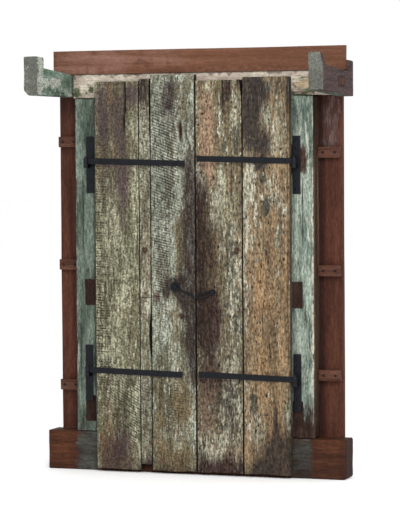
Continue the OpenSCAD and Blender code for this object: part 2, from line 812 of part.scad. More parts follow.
// A long closed loop with an eye round its stud
module latch_loop() {
    end_r = loop_w / 2;
    slot_r = end_r - hasp_w;
    slot_out = loop_l - end_r;
    slot_in = hasp_eye_r + slot_r;
    color(iron)
        translate([loop_pos[0], 0, loop_pos[1]])
            rotate([0, -loop_fall, 0])
                difference() {
                    union() {
                        round_along_y([0, 0], hasp_eye_r, hasp_back - hasp_t, hasp_back);
                        round_along_y([-slot_in, 0], end_r, hasp_back - hasp_t, hasp_back);
                        round_along_y([-slot_out, 0], end_r, hasp_back - hasp_t, hasp_back);
                        slab([[-slot_out, -end_r], [-slot_in, -end_r], [0, -hasp_eye_r], [0, hasp_eye_r],
                              [-slot_in, end_r], [-slot_out, end_r]], hasp_back - hasp_t, hasp_back);
                    }
                    round_along_y([0, 0], stud_r + stud_play, hasp_back - hasp_t - past, hasp_back + past);
                    round_along_y([-slot_in, 0], slot_r, hasp_back - hasp_t - past, hasp_back + past);
                    round_along_y([-slot_out, 0], slot_r, hasp_back - hasp_t - past, hasp_back + past);
                    slab([[-slot_out, -slot_r], [-slot_in, -slot_r], [-slot_in, slot_r], [-slot_out, slot_r]],
                         hasp_back - hasp_t - past, hasp_back + past);
                }
}

sill();
jamb_left();
jamb_right();
lintel();
arm_left();
arm_right();
arm_plug();
top_board();
back_plank_left();
back_plank_right();
cleat_left_top();
cleat_left_mid();
cleat_left_low();
cleat_right_top();
cleat_right_mid();
cleat_right_low();
cleat_nails();
back_nails();
pintle_left_top();
pintle_left_low();
pintle_right_top();
pintle_right_low();
pintle_screws();
plank_left_outer();
plank_left_middle();
plank_left_inner();
ledge_left_top();
ledge_left_mid();
ledge_left_low();
strap_left_top();
strap_left_low();
strap_nails_left();
ledge_nails_left();
latch_rose();
latch_bar();
plank_right_inner();
plank_right_outer();
ledge_right_top();
ledge_right_mid();
ledge_right_low();
strap_right_top();
strap_right_low();
strap_nails_right();
ledge_nails_right();
latch_stud();
latch_loop();
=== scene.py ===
import math
from functools import partial

import bmesh
import bpy
import numpy as np
from mathutils import Matrix, Vector


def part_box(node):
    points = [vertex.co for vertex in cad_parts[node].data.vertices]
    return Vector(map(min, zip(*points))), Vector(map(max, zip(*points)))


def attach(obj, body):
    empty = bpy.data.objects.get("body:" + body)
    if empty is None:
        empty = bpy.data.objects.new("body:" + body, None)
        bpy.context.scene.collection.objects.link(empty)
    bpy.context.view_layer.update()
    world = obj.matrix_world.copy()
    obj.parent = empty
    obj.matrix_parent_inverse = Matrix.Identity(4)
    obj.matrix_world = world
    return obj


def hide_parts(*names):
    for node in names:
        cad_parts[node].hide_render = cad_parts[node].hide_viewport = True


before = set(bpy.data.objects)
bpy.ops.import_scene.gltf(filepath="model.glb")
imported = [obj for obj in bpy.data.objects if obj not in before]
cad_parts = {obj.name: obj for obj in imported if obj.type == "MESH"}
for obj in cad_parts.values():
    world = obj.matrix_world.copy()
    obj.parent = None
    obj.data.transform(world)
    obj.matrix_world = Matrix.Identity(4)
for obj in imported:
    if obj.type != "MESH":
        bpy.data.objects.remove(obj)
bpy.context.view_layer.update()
mm = 0.001
print("frame loaded:", len(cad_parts), "nodes")


def linear(hexValue):
    parts = [int(hexValue[i:i + 2], 16) / 255 for i in (1, 3, 5)]
    return tuple(p / 12.92 if p <= 0.04045 else ((p + 0.055) / 1.055) ** 2.4 for p in parts) + (1.0,)


# adds a node with its settings and links, and gives back one of its outputs
def addNode(tree, kind, links=None, output=0, **settings):
    node = tree.nodes.new("ShaderNode" + kind)
    for key, value in settings.items():
        setattr(node, key, value)
    for socket, value in (links or {}).items():
        if isinstance(value, bpy.types.NodeSocket):
            tree.links.new(value, node.inputs[socket])
        else:
            node.inputs[socket].default_value = value
    return node.outputs[output] if len(node.outputs) else None


def newMaterial(name):
    material = bpy.data.materials.new(name)
    material.use_nodes = True
    material.node_tree.nodes.clear()
    return material, partial(addNode, material.node_tree)


# smooth random values from -1 to 1; size is one lump's length along x, y and z in mm
def lumps(places, size, seed):
    cell = places / (np.array(size, float) * mm) + seed * 13.37
    base = np.floor(cell)
    part = cell - base
    part = part * part * (3 - 2 * part)
    base = base.astype(np.int64)
    total = np.zeros(len(places))
    for corner in range(8):
        step = np.array([corner & 1, corner >> 1 & 1, corner >> 2 & 1])
        spot = (base + step) * np.array([73856093, 19349663, 83492791])  # these and the next only scramble
        mixed = spot[:, 0] ^ spot[:, 1] ^ spot[:, 2] ^ (seed * 2654435761)
        mixed = (mixed ^ (mixed >> 15)) * 2246822519
        mixed = (mixed ^ (mixed >> 13)) * 3266489917
        value = ((mixed >> 16) & 0xffff) / 32767.5 - 1
        total += value * np.prod(np.where(step, part, 1 - part), axis=1)
    return total


# adds up soft spots (x, z, half width, half height, amount), in mm, with ragged edges
def softSpots(places, spots, seed, ragged=1.0, steep=4):
    sway = 16 * lumps(places, (40, 90, 70), seed) + 6 * lumps(places, (9, 90, 40), seed + 1)
    x = places[:, 0] / mm + ragged * sway
    z = places[:, 2] / mm + ragged * 55 * lumps(places, (16, 90, 160), seed + 2)
    total = np.zeros(len(places))
    for spotX, spotZ, halfX, halfZ, amount in spots:
        total += amount * np.exp(-(np.abs(x - spotX) / halfX) ** steep - (np.abs(z - spotZ) / halfZ) ** steep)
    return total


def addBlock(name, low, high):
    bpy.ops.object.select_all(action="DESELECT")
    low, high = Vector(low) * mm, Vector(high) * mm
    bpy.ops.mesh.primitive_cube_add(size=1, location=(low + high) / 2, scale=high - low)
    piece = bpy.context.object
    piece.name = piece.data.name = name
    bpy.ops.object.transform_apply(location=True, rotation=True, scale=True)
    return piece


# rounds every arris, then cuts the long faces into a grid of about these pitches in mm
def roundAndDivide(piece, radius, pitches):
    bpy.ops.object.mode_set(mode="EDIT")
    bpy.ops.mesh.select_all(action="SELECT")
    bpy.ops.mesh.bevel(offset=radius * mm, segments=2, affect="EDGES")
    for axis, pitch in enumerate(pitches):
        parts = None
        while parts is None or parts > 1:
            mesh = bmesh.from_edit_mesh(piece.data)
            longest = 0
            for edge in mesh.edges:
                run = edge.verts[1].co - edge.verts[0].co
                along = abs(run[axis]) > 0.999 * run.length and run.length > 1.4 * radius * mm
                edge.select_set(along)
                longest = max(longest, run.length if along else 0)
            bmesh.update_edit_mesh(piece.data)
            parts = round(longest / (pitch * mm))
            if parts > 1:  # subdivide makes 100 cuts at most, so a long run is cut twice
                step = parts if parts <= 60 else max(2, round(parts / 40))
                bpy.ops.mesh.subdivide(number_cuts=step - 1)
                parts = parts // step
    bpy.ops.object.mode_set(mode="OBJECT")


def applyModifier(piece, kind, **settings):
    bpy.ops.object.modifier_add(type=kind)
    modifier = piece.modifiers[-1]
    for key, value in settings.items():
        setattr(modifier, key, value)
    bpy.ops.object.modifier_apply(modifier=modifier.name)


def readMesh(piece):
    count = len(piece.data.vertices)
    places, normals = np.empty(count * 3, np.float32), np.empty(count * 3, np.float32)
    piece.data.vertices.foreach_get("co", places)
    piece.data.vertex_normals.foreach_get("vector", normals)
    return places.reshape(-1, 3).astype(float), normals.reshape(-1, 3).astype(float)


def writeMesh(piece, places):
    piece.data.vertices.foreach_set("co", places.astype(np.float32).ravel())
    piece.data.update()


def writeMask(piece, name, values):
    mask = piece.data.attributes.new(name, "FLOAT", "POINT")
    mask.data.foreach_set("value", values.astype(np.float32))


# wood only ever comes off, so that a leaf still clears the frame
def wearTimber(piece, look):
    places, normals = readMesh(piece)
    grain, seed = look["grain"], look["seed"]
    size = lambda across, along: [along if axis == grain else across for axis in range(3)]
    away = look["hollow"] * (0.5 + 0.5 * lumps(places, size(60, 380), seed))
    away += look["ridge"] * np.abs(lumps(places, size(11, 190), seed + 1))
    arris = (1 - np.abs(normals).max(axis=1)) / 0.3
    dents = np.clip(lumps(places, size(9, 26), seed + 2), 0, 1)
    dents += np.clip(lumps(places, size(20, 120), seed + 3), 0, 1)
    away += look["nick"] * arris * dents
    if "tight" in look:  # axis and sign of a face that sits on another timber
        axis, sign = look["tight"]
        away[normals[:, axis] * sign > 0.7] = 0
    writeMesh(piece, places - normals * away[:, None] * mm)


def dress(piece, look, material):
    bpy.ops.object.select_all(action="DESELECT")
    piece.select_set(True)
    bpy.context.view_layer.objects.active = piece
    bpy.ops.object.shade_smooth_by_angle(angle=math.radians(50))
    piece.data.materials.clear()
    piece.data.materials.append(material)
    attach(piece, look["body"])
    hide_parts(*look["nodes"])


# sizes of the timber's patterns, and node settings used more than once
grainSize = {"broad": 30, "fine": 6.2, "speck": 7.5, "pit": 6.8, "patch": 60, "fleck": 13}  # mm
grainStretch = {"broad": 0.05, "fine": 0.14, "flake": 0.42, "fuzz": 0.5}  # a pattern's width over its length
evenSwing = {"From Min": 0.25, "From Max": 0.75, "To Min": -0.5, "To Max": 0.5}
halfSwing = {**evenSwing, "To Min": -0.25, "To Max": 0.25}
blend = {"output": 2, "data_type": "RGBA"}
shade = {**blend, "blend_type": "MULTIPLY"}
smooth = {"interpolation_type": "SMOOTHSTEP"}


# sawn timber left to the weather: streaked grain, flaking oil paint where some is left, soaked-in dirt, and
# painted shade laid on through the same stain and cut masks
def agedTimber(name, look):
    material, add = newMaterial(name)
    grain = look["grain"]
    scale = lambda key: 1 / (look.get(key + "Size", grainSize.get(key)) * mm)
    stretches = {key: look.get(key + "Stretch", usual) for key, usual in grainStretch.items()}
    coords = add("TexCoord", output="Object")
    lengthwise, shorter, stubby, fuzzy = (
        add("Mapping", {"Vector": coords, "Scale": [stretch if axis == grain else 1.0 for axis in range(3)]})
        for stretch in stretches.values())
    broad, fine, speck, pit = (
        add("TexNoise", {"Vector": vector, "Scale": scale(key), "Detail": detail, "Roughness": rough})
        for key, vector, detail, rough in (("broad", lengthwise, 4.0, 0.65), ("fine", shorter, 3.0, 0.6),
                                           ("speck", fuzzy, 3.0, 0.65), ("pit", stubby, 1.0, 0.5)))

    broadTone = add("MapRange", {"Value": broad, "From Min": 0.36, "From Max": 0.64})
    fineTone = add("MapRange", {"Value": fine, "From Min": 0.34, "From Max": 0.66})
    speckLow, speckHigh = look.get("speckRange", (0.36, 0.62))
    speckTone = add("MapRange", {"Value": speck, "From Min": speckLow, "From Max": speckHigh})
    darkWood, paleWood = (linear(wood) for wood in look["wood"])
    colour = add("Mix", {0: broadTone, 6: darkWood, 7: paleWood}, **blend)
    warmLeft = add("Attribute", output="Fac", attribute_name="warmWood")
    warmSwing = add("MapRange", {
        "Value": broad, "From Min": 0.3, "From Max": 0.7, "To Min": -0.55, "To Max": 0.35})
    warmTone = add("Math", {0: warmLeft, 1: warmSwing}, operation="ADD", use_clamp=True)
    colour = add("Mix", {0: warmTone, 6: colour, 7: linear(look["warm"])}, **blend)
    streakShade = add("MapRange", {
        "Value": fineTone, "To Min": 1 - look["streak"], "To Max": 1 + 0.4 * look["streak"]})
    colour = add("Mix", {0: 1.0, 6: colour, 7: streakShade}, **shade)

    height = add("Math", {0: fineTone, 1: 0.4}, operation="MULTIPLY")
    roughness = look["roughness"]
    if "slate" in look:  # an older blue-grey coat, in flecks
        slateLeft = add("Attribute", output="Fac", attribute_name="slateLeft")
        apart = add("Mapping", {"Vector": stubby, "Location": (0.7, 0.3, 0.5)})
        fleck = add("TexNoise", {
            "Vector": apart, "Scale": scale("fleck"), "Detail": 4.0, "Roughness": 0.66})
        fleckSwing = add("MapRange", {"Value": fleck, **evenSwing}, clamp=False)
        slateLevel = add("Math", {0: slateLeft, 1: fleckSwing}, operation="ADD")
        slateKept = add("MapRange", {
            "Value": slateLevel, "From Min": 0.40, "From Max": 0.58, "To Max": 0.85}, **smooth)
        colour = add("Mix", {0: slateKept, 6: colour, 7: linear(look["slate"])}, **blend)
    if "paint" in look:
        flake, patch = (
            add("TexNoise", {"Vector": stubby, "Scale": scale(key), "Detail": detail, "Roughness": rough})
            for key, detail, rough in (("flake", 4.0, 0.66), ("patch", 3.0, 0.5)))
        left = add("Attribute", output="Fac", attribute_name="paintLeft")
        swing = add("MapRange", {"Value": flake, **evenSwing}, clamp=False)
        grainSwing = add("MapRange", {"Value": fine, **halfSwing}, clamp=False)
        level = add("Math", {0: left, 1: swing}, operation="ADD")
        level = add("Math", {0: level, 1: grainSwing}, operation="ADD")
        soft = look.get("soft", 0.06)
        kept = add("MapRange", {"Value": level, "From Min": 0.5 - soft, "From Max": 0.5 + soft}, **smooth)
        wash = add("MapRange", {"Value": left, "From Min": 0.1, "From Max": 0.9, "To Max": look["wash"]})
        rim = add("MapRange", {"Value": level, "From Min": 0.34, "From Max": 0.46}, **smooth)
        rimShade = add("MapRange", {"Value": rim, "To Min": 1.0, "To Max": look.get("rim", 0.7)})
        paintTone = add("MapRange", {"Value": patch, "From Min": 0.38, "From Max": 0.62})
        darkPaint, palePaint = (linear(paint) for paint in look["paint"])
        paint = add("Mix", {0: paintTone, 6: darkPaint, 7: palePaint}, **blend)
        if "otherPaint" in look:
            other = add("Attribute", output="Fac", attribute_name="otherPaint")
            otherLevel = add("Math", {0: other, 1: swing}, operation="ADD")
            otherKept = add("MapRange", {"Value": otherLevel, "From Min": 0.36, "From Max": 0.64})
            paint = add("Mix", {0: otherKept, 6: paint, 7: linear(look["otherPaint"])}, **blend)
        paintShade = add("MapRange", {
            "Value": fineTone, "To Min": 1 - look["paintStreak"], "To Max": 1.1})
        paint = add("Mix", {0: 1.0, 6: paint, 7: paintShade}, **shade)
        colour = add("Mix", {0: wash, 6: colour, 7: paint}, **blend)
        colour = add("Mix", {0: 1.0, 6: colour, 7: rimShade}, **shade)
        colour = add("Mix", {0: kept, 6: colour, 7: paint}, **blend)
        height = add("Math", {0: kept, 1: 0.5, 2: height}, operation="MULTIPLY_ADD")
        roughness = add("MapRange", {
            "Value": kept, "To Min": look["roughness"], "To Max": look["roughness"] - 0.2})

    speckShade = add("MapRange", {
        "Value": speckTone, "To Min": 1 - look["speck"], "To Max": 1 + 0.3 * look["speck"]})
    colour = add("Mix", {0: 1.0, 6: colour, 7: speckShade}, **shade)
    pitted = add("MapRange", {"Value": pit, "From Min": 0.63, "From Max": 0.71, "To Max": look["pits"]})
    colour = add("Mix", {0: pitted, 6: colour, 7: linear(look["cut"])}, **blend)
    if "rust" in look:  # knots, and what nails bleed
        rusty = add("Attribute", output="Fac", attribute_name="rustTone")
        colour = add("Mix", {0: rusty, 6: colour, 7: linear(look["rust"])}, **blend)
    stainAndShadeMask = add("Attribute", output="Fac", attribute_name="stainAndShadeDepth")
    soakSwing = add("MapRange", {"Value": fineTone, "To Min": 1.1, "To Max": 0.9})
    stainAndShadeLevel = add("Math", {0: stainAndShadeMask, 1: soakSwing}, operation="MULTIPLY", use_clamp=True)
    stainAndShadeColour = add("Mix", {0: 0.8, 6: linear(look["stainAndShade"]), 7: speckShade}, **shade)
    darkened = add("Mix", {0: 1.0, 6: colour, 7: linear(look.get("darken", "#9e9397"))}, **shade)
    stainAndShadeColour = add("Mix", {0: 0.5, 6: stainAndShadeColour, 7: darkened}, **blend)
    colour = add("Mix", {0: stainAndShadeLevel, 6: colour, 7: stainAndShadeColour}, **blend)
    cut = add("Attribute", output="Fac", attribute_name="cutAndShadeDepth")
    cutShade = add("MapRange", {"Value": cut, "To Max": 0.92})
    colour = add("Mix", {0: cutShade, 6: colour, 7: linear(look["cut"])}, **blend)

    height = add("Math", {0: speckTone, 1: 0.4, 2: height}, operation="MULTIPLY_ADD")
    bump = add("Bump", {"Height": height, "Strength": 0.7, "Distance": 1.4 * mm})
    shader = add("BsdfPrincipled", {
        "Base Color": colour, "Roughness": roughness, "Normal": bump, "Specular IOR Level": 0.1})
    add("OutputMaterial", {"Surface": shader})
    return material


# red-brown softwood under old oil: even grain, hardly any gloss
redLook = {
    "grain": 2, "flakeSize": 30, "wash": 0.3, "pits": 0.12, "wood": ("#3c2118", "#523126"),
    "warm": "#5a3424", "streak": 0.3, "speck": 0.22, "stainAndShade": "#2b1a17", "cut": "#140b08",
    "roughness": 0.7}
redUpright = agedTimber("oiled red-brown softwood, back planks", {
    **redLook, "paint": ("#64504c", "#6f5c59"), "paintStreak": 0.3, "soft": 0.35})
redSill = agedTimber("oiled red-brown softwood, sill", {
    **redLook, "grain": 0, "wood": ("#3d2217", "#50301f"), "warm": "#593420",
    "paint": ("#3b3a35", "#4e504a"), "paintStreak": 0.35, "soft": 0.5})
redBoard = agedTimber("oiled red-brown softwood, top board", {
    **redLook, "grain": 0, "wood": ("#5c3c2b", "#6b4837"), "warm": "#806055", "speck": 0.14,
    "streak": 0.14})
redCleat = agedTimber("oiled red-brown softwood, cleats", {
    **redLook, "grain": 0, "wood": ("#452a20", "#5b3d31"), "warm": "#5f3c2c"})
# mint oil paint on the jambs, chalky and worn along the grain; the left jamb's copy is darker, as painted
# shade
mintLook = {
    "grain": 2, "flakeSize": 16, "wash": 0.5, "pits": 0.4, "wood": ("#35241d", "#57443a"),
    "warm": "#8a7458", "streak": 0.4, "speck": 0.4, "flakeStretch": 0.2, "soft": 0.14,
    "paint": ("#465248", "#738073"), "otherPaint": "#8d9284", "paintStreak": 0.45, "stainAndShade": "#261916",
    "cut": "#17100d", "roughness": 0.85}
mintShadedLeft = agedTimber("flaking mint oil paint, left jamb, darker as painted shade", mintLook)
mintLitRight = agedTimber("flaking mint oil paint, right jamb, lit copy", {
    **mintLook, "paint": ("#637268", "#9ca799"), "otherPaint": "#bfbdac"})
# cream oil paint on the lintel: matt, in soft-edged patches over yellow-brown wood
creamPaint = agedTimber("flaking cream oil paint on softwood", {
    "grain": 0, "flakeSize": 30, "wash": 0.4, "pits": 0.2, "wood": ("#947d5b", "#ab946f"),
    "warm": "#a87a50", "streak": 0.2, "speck": 0.25, "soft": 0.2, "paint": ("#a4978a", "#c3b9a9"),
    "otherPaint": "#555d43", "paintStreak": 0.2, "stainAndShade": "#352720", "cut": "#1d1512", "roughness": 0.85})
# green oil paint on the arms, matt, with flecks of an older blue-grey coat
armLook = {
    "grain": 1, "flakeSize": 16, "wash": 0.4, "pits": 0.4, "wood": ("#403333", "#574746"),
    "warm": "#5a423a", "streak": 0.3, "speck": 0.4, "paint": ("#546a58", "#84978a"),
    "otherPaint": "#aaada2", "paintStreak": 0.25, "slate": "#656961", "soft": 0.1, "stainAndShade": "#332926",
    "cut": "#1a1310", "roughness": 0.85}
armPaint = agedTimber("flaking green oil paint on softwood", armLook)
# grey-brown wood that never had paint: dry and dull
ledgeWood = agedTimber("bare grey-brown softwood", {
    "grain": 0, "pits": 0.4, "wood": ("#4c3e32", "#6f6152"), "warm": "#6c553d", "streak": 0.4,
    "speck": 0.35, "stainAndShade": "#2f251e", "cut": "#19130f", "roughness": 0.9})
# the leaves: sun-bleached softwood, grey-green paint all but gone; flecks a little coarser than real, to show
plankLook = {
    "grain": 2, "flakeSize": 11, "flakeStretch": 0.3, "fuzzStretch": 0.85, "wash": 0.6, "soft": 0.13,
    "rim": 0.8, "pits": 0.6, "streak": 0.45, "speck": 0.52, "speckSize": 9.8, "speckRange": (0.41, 0.58),
    "paintStreak": 0.3, "slate": "#393c37", "rust": "#3f241b", "stainAndShade": "#2a1f1e", "cut": "#14100d",
    "roughness": 0.9}
barePlank = {**plankLook, "soft": 0.08, "wash": 0.45, "rim": 0.72, "pits": 0.9}
plankFinish = {
    "leftOuter": agedTimber("weathered plank, left outer", {
        **plankLook, "wood": ("#494334", "#716b52"), "warm": "#7f6547", "paint": ("#818069", "#a6a48a"),
        "stainAndShade": "#57494a", "darken": "#a69ca2"}),
    "leftMiddle": agedTimber("weathered plank, left middle", {
        **plankLook, "wood": ("#50493a", "#756d58"), "warm": "#88775f", "paint": ("#84836f", "#aaa894")}),
    "leftInner": agedTimber("weathered plank, left inner", {
        **plankLook, "wood": ("#514a39", "#736b55"), "warm": "#7f6f52", "paint": ("#868a7b", "#adb09f")}),
    "rightInner": agedTimber("weathered plank, right inner", {
        **barePlank, "wood": ("#60553f", "#877a61"), "warm": "#9f806a", "paint": ("#8e8b75", "#b4b09a"),
        "fuzzStretch": 0.6, "stainAndShade": "#23171a", "darken": "#968a90"}),
    "rightOuter": agedTimber("weathered plank, right outer", {
        **barePlank, "wood": ("#705e47", "#937e62"), "warm": "#977754", "paint": ("#918e7a", "#b6b19d"),
        "fuzzStretch": 0.5, "speck": 0.5, "stainAndShade": "#2b282c", "darken": "#8f949c"})}

ironSize = {"hammer": 18, "pitting": 5}  # mm


# iron out of the fire: dints, pits, rust in the pits
def agedIron(name, look):
    material, add = newMaterial(name)
    coords = add("TexCoord", output="Object")
    hammer = add("TexNoise", {"Vector": coords, "Scale": 1 / (ironSize["hammer"] * mm), "Detail": 3.0})
    pitting = add("TexNoise", {
        "Vector": coords, "Scale": 1 / (ironSize["pitting"] * mm), "Detail": 4.0, "Roughness": 0.7})
    worn = add("MapRange", {"Value": hammer, "From Min": 0.4, "From Max": 0.65})
    rusted = add("MapRange", {
        "Value": pitting, "From Min": look["rustFrom"], "From Max": look["rustFrom"] + 0.15, "To Max": 0.6})
    colour = add("Mix", {0: worn, 6: linear(look["scale"]), 7: linear(look["worn"])}, **blend)
    colour = add("Mix", {0: rusted, 6: colour, 7: linear(look["rust"])}, **blend)
    rough = add("MapRange", {
        "Value": pitting, "To Min": look["roughness"] - 0.1, "To Max": look["roughness"] + 0.15})
    height = add("Math", {0: hammer, 1: 2.0, 2: pitting}, operation="MULTIPLY_ADD")
    bump = add("Bump", {"Height": height, "Strength": 0.5, "Distance": 1.5 * mm})
    shader = add("BsdfPrincipled", {
        "Base Color": colour, "Metallic": look["metal"], "Roughness": rough, "Normal": bump})
    add("OutputMaterial", {"Surface": shader})
    return material


# forged bar under black scale and wax: nearly black, with a dull cold gloss
forgedIron = agedIron("forged iron with black scale", {
    "scale": "#05070c", "worn": "#0b0f18", "rust": "#17110f", "rustFrom": 0.6, "roughness": 0.5,
    "metal": 0.6})
# nail heads rusted through: dry brown, no gloss
rustedIron = agedIron("rusted nail iron", {
    "scale": "#2b1d17", "worn": "#41301f", "rust": "#55361f", "rustFrom": 0.45, "roughness": 0.8,
    "metal": 0.0})
print("materials made:", len(bpy.data.materials))

# the hinges: side, level, x of the plate, height of the strap, then the pins; mm
hinges = [("left", "top", -506.5, 1450), ("left", "low", -518.5, 476),
          ("right", "top", 503.5, 1445), ("right", "low", 503.5, 454)]
pinX, pinY = {"left": -512.5, "right": 503.5}, -99.5
strapFall = math.tan(math.radians(1.6))


# a plank of a leaf: sawn front, drying cracks, scratches, a split, ragged ends; x and z in mm
def makePlank(name, look):
    (lowX, highX), (frontY, backY), (lowZ, highZ) = look["x"], look["y"], look["z"]
    piece = addBlock(name, (lowX, frontY, lowZ), (highX, backY, highZ))
    roundAndDivide(piece, look["round"], look["pitch"])
    wearTimber(piece, look)
    places, normals = readMesh(piece)
    seed, lineHalf = look["seed"], look["lineHalf"]
    x, y, z = (places / mm).T
    front, behind = np.clip((-normals[:, 1] - 0.5) / 0.4, 0, 1), normals[:, 1] > 0.5
    marks = np.zeros((3, len(places)))  # depth, darkness and rust
    # rows of dashes left by the saw: pitch, fall to the right, where
    for sawPitch, sawFall, sawSpots in look["saw"]:
        zone = np.clip(softSpots(places, sawSpots, seed + 10), 0, 1)
        swing = z + sawFall * x + 2.5 * lumps(places, (60, 60, 50), seed + 11)
        dash = np.clip(lumps(places, (26, 60, 9), seed + 12) * 1.6 + 0.95, 0, 1)
        saw = np.clip((np.cos(2 * np.pi * swing / sawPitch) + 0.15) / 0.8, 0, 1) * dash * zone * front
        marks = np.maximum(marks, np.outer((0.9, 0.9, 0), saw))
    # drying cracks: x, highest and lowest z, depth
    for crackX, crackTop, crackLow, crackDepth in look["cracks"]:
        line = crackX + 4 * lumps(places * (0, 0, 1), (50, 50, 90), seed + 20 + int(crackX) % 7)
        inside = np.clip((crackTop - z) / 30, 0, 1) * np.clip((z - crackLow) / 60, 0, 1)
        near = np.clip(1.4 - np.abs(x - line) / lineHalf, 0, 1) * inside * front
        marks = np.maximum(marks, np.outer((crackDepth, min(1, 0.3 + 0.2 * crackDepth), 0), near))
    # scratches and breaks: from x, z to x, z, depth, darkness
    scratched = np.zeros(len(places))
    for fromX, fromZ, toX, toZ, scratchDepth, darkness in look.get("scratches", []):
        run = np.array([toX - fromX, toZ - fromZ])
        part = np.clip(((x - fromX) * run[0] + (z - fromZ) * run[1]) / (run @ run), 0, 1)
        far = np.hypot(x - fromX - part * run[0], z - fromZ - part * run[1])
        near = np.clip(1.3 - far / lineHalf, 0, 1) * front
        marks = np.maximum(marks, np.outer((scratchDepth, darkness, 0), near))
        scratched = np.maximum(scratched, near * (darkness < 0.1))
    # old nail holes: x, z, radius of the hole, half width and height of the rust round it
    for holeX, holeZ, holeSize, bleedX, bleedZ in look.get("holes", []):
        near = np.clip(1.5 - np.hypot(x - holeX, z - holeZ) / holeSize, 0, 1) * front
        bleed = np.clip(1.3 - np.hypot((x - holeX) / bleedX, (z - holeZ) / bleedZ), 0, 0.75) * front
        marks = np.maximum(marks, [2.5 * near, near, bleed])
    for ringX, ringZ, ringSize in look.get("rings", []):  # the dint a big nail head left
        far = np.hypot(x - ringX, z - ringZ)
        near = np.clip(1.4 - np.abs(far - ringSize) / lineHalf, 0, 1) * front
        bleed = np.clip(1.9 - far / ringSize, 0, 0.8) * front
        marks = np.maximum(marks, [0.8 * near, 0.5 * near, bleed])
    for knotX, knotZ, halfX, halfZ in look.get("knots", []):
        far = np.hypot((x - knotX) / halfX, (z - knotZ) / halfZ)
        near, core = np.clip(2.2 - 2.2 * far, 0, 1) * front, np.clip(1.7 - 3.4 * far, 0, 1) * front
        marks = np.maximum(marks, [2 * near, 0.9 * core, near])
    depth, cut, rust = marks
    y = y + depth
    # ends gnawed by wet
    atTop, atFoot = np.clip((z - highZ + 14) / 14, 0, 1), np.clip((lowZ + 46 - z) / 46, 0, 1)
    plan = places * (1, 1, 0)
    gnawed = 0.3 + 0.7 * lumps(plan, (75, 40, 1), seed + 31) + 0.3 * lumps(plan, (12, 40, 1), seed + 32)
    z = z - atTop * 3 * (0.5 + 0.5 * lumps(plan, (24, 40, 1), seed + 30))
    z = z + atFoot * 6 * np.clip(gnawed, 0, 1)
    for lostZ, lostHalf, lostDepth in look.get("lost", []):  # wood broken away from the right edge
        edge = highX - lostDepth * np.clip(1 - np.abs(z - lostZ) / lostHalf, 0, 1) ** 0.7
        x = np.where(y < look["lostTo"], np.minimum(x, edge), x)
    writeMesh(piece, np.stack([x, y, z], axis=1) * mm)
    cut = np.maximum(cut, softSpots(places, look.get("wetSpots", []), seed + 52, 0.5, 2.4) * front)
    # side faces, mostly in the seams between planks, are darkened as painted shade, through the cut mask and
    # the stain mask
    side = np.clip((np.abs(normals[:, 0]) - 0.55) / 0.3, 0, 1)
    writeMask(piece, "cutAndShadeDepth", np.maximum(cut, side * np.where(normals[:, 0] < 0, *look["sideShade"])))
    arris = np.clip(1 - np.minimum(x - lowX, highX - x) / 7, 0, 1) * front
    paint = look["paintLeft"] + softSpots(places, look["paintSpots"], seed + 40) + look["paleEdge"] * arris
    paint += 0.2 * scratched - 0.3 * behind
    paint += 0.2 * lumps(places, (30, 60, 150), seed + 41) + 0.14 * lumps(places, (14, 60, 50), seed + 42)
    writeMask(piece, "paintLeft", paint)
    writeMask(piece, "slateLeft", softSpots(places, look["slateSpots"], seed + 43, 0.6) * front)
    writeMask(piece, "warmWood", softSpots(places, look["warmSpots"], seed + 45, 0.6))
    writeMask(piece, "rustTone", rust)
    stainAndShade = 1.45 * softSpots(places, look["stainAndShadeSpots"], seed + 50, 0.5, 2.4)
    stainAndShade += 0.14 * lumps(places, (26, 60, 240), seed + 51)
    stainAndShade *= 1 - 0.6 * behind
    leaf = look["body"].split("_")[0]
    for level in ("top", "low"):  # painted shadow along the straps' lower edges
        strapLow, strapHigh = (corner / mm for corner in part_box(f"strap_{leaf}_{level}"))
        along = strapHigh[0] - x if leaf == "left" else x - strapLow[0]
        under = strapLow[2] + strapFall * along - z
        near = front * (x > strapLow[0]) * (x < strapHigh[0])
        stainAndShade += 0.55 * np.exp(-((under - 3) / 8) ** 2) * near
    # the side faces' share here is painted shade
    stainAndShade = np.clip(stainAndShade + 0.5 * atFoot ** 2 * front + 0.5 * side, 0, 1) * (1 - 0.4 * scratched)
    writeMask(piece, "stainAndShadeDepth", stainAndShade)
    dress(piece, look, plankFinish[name])


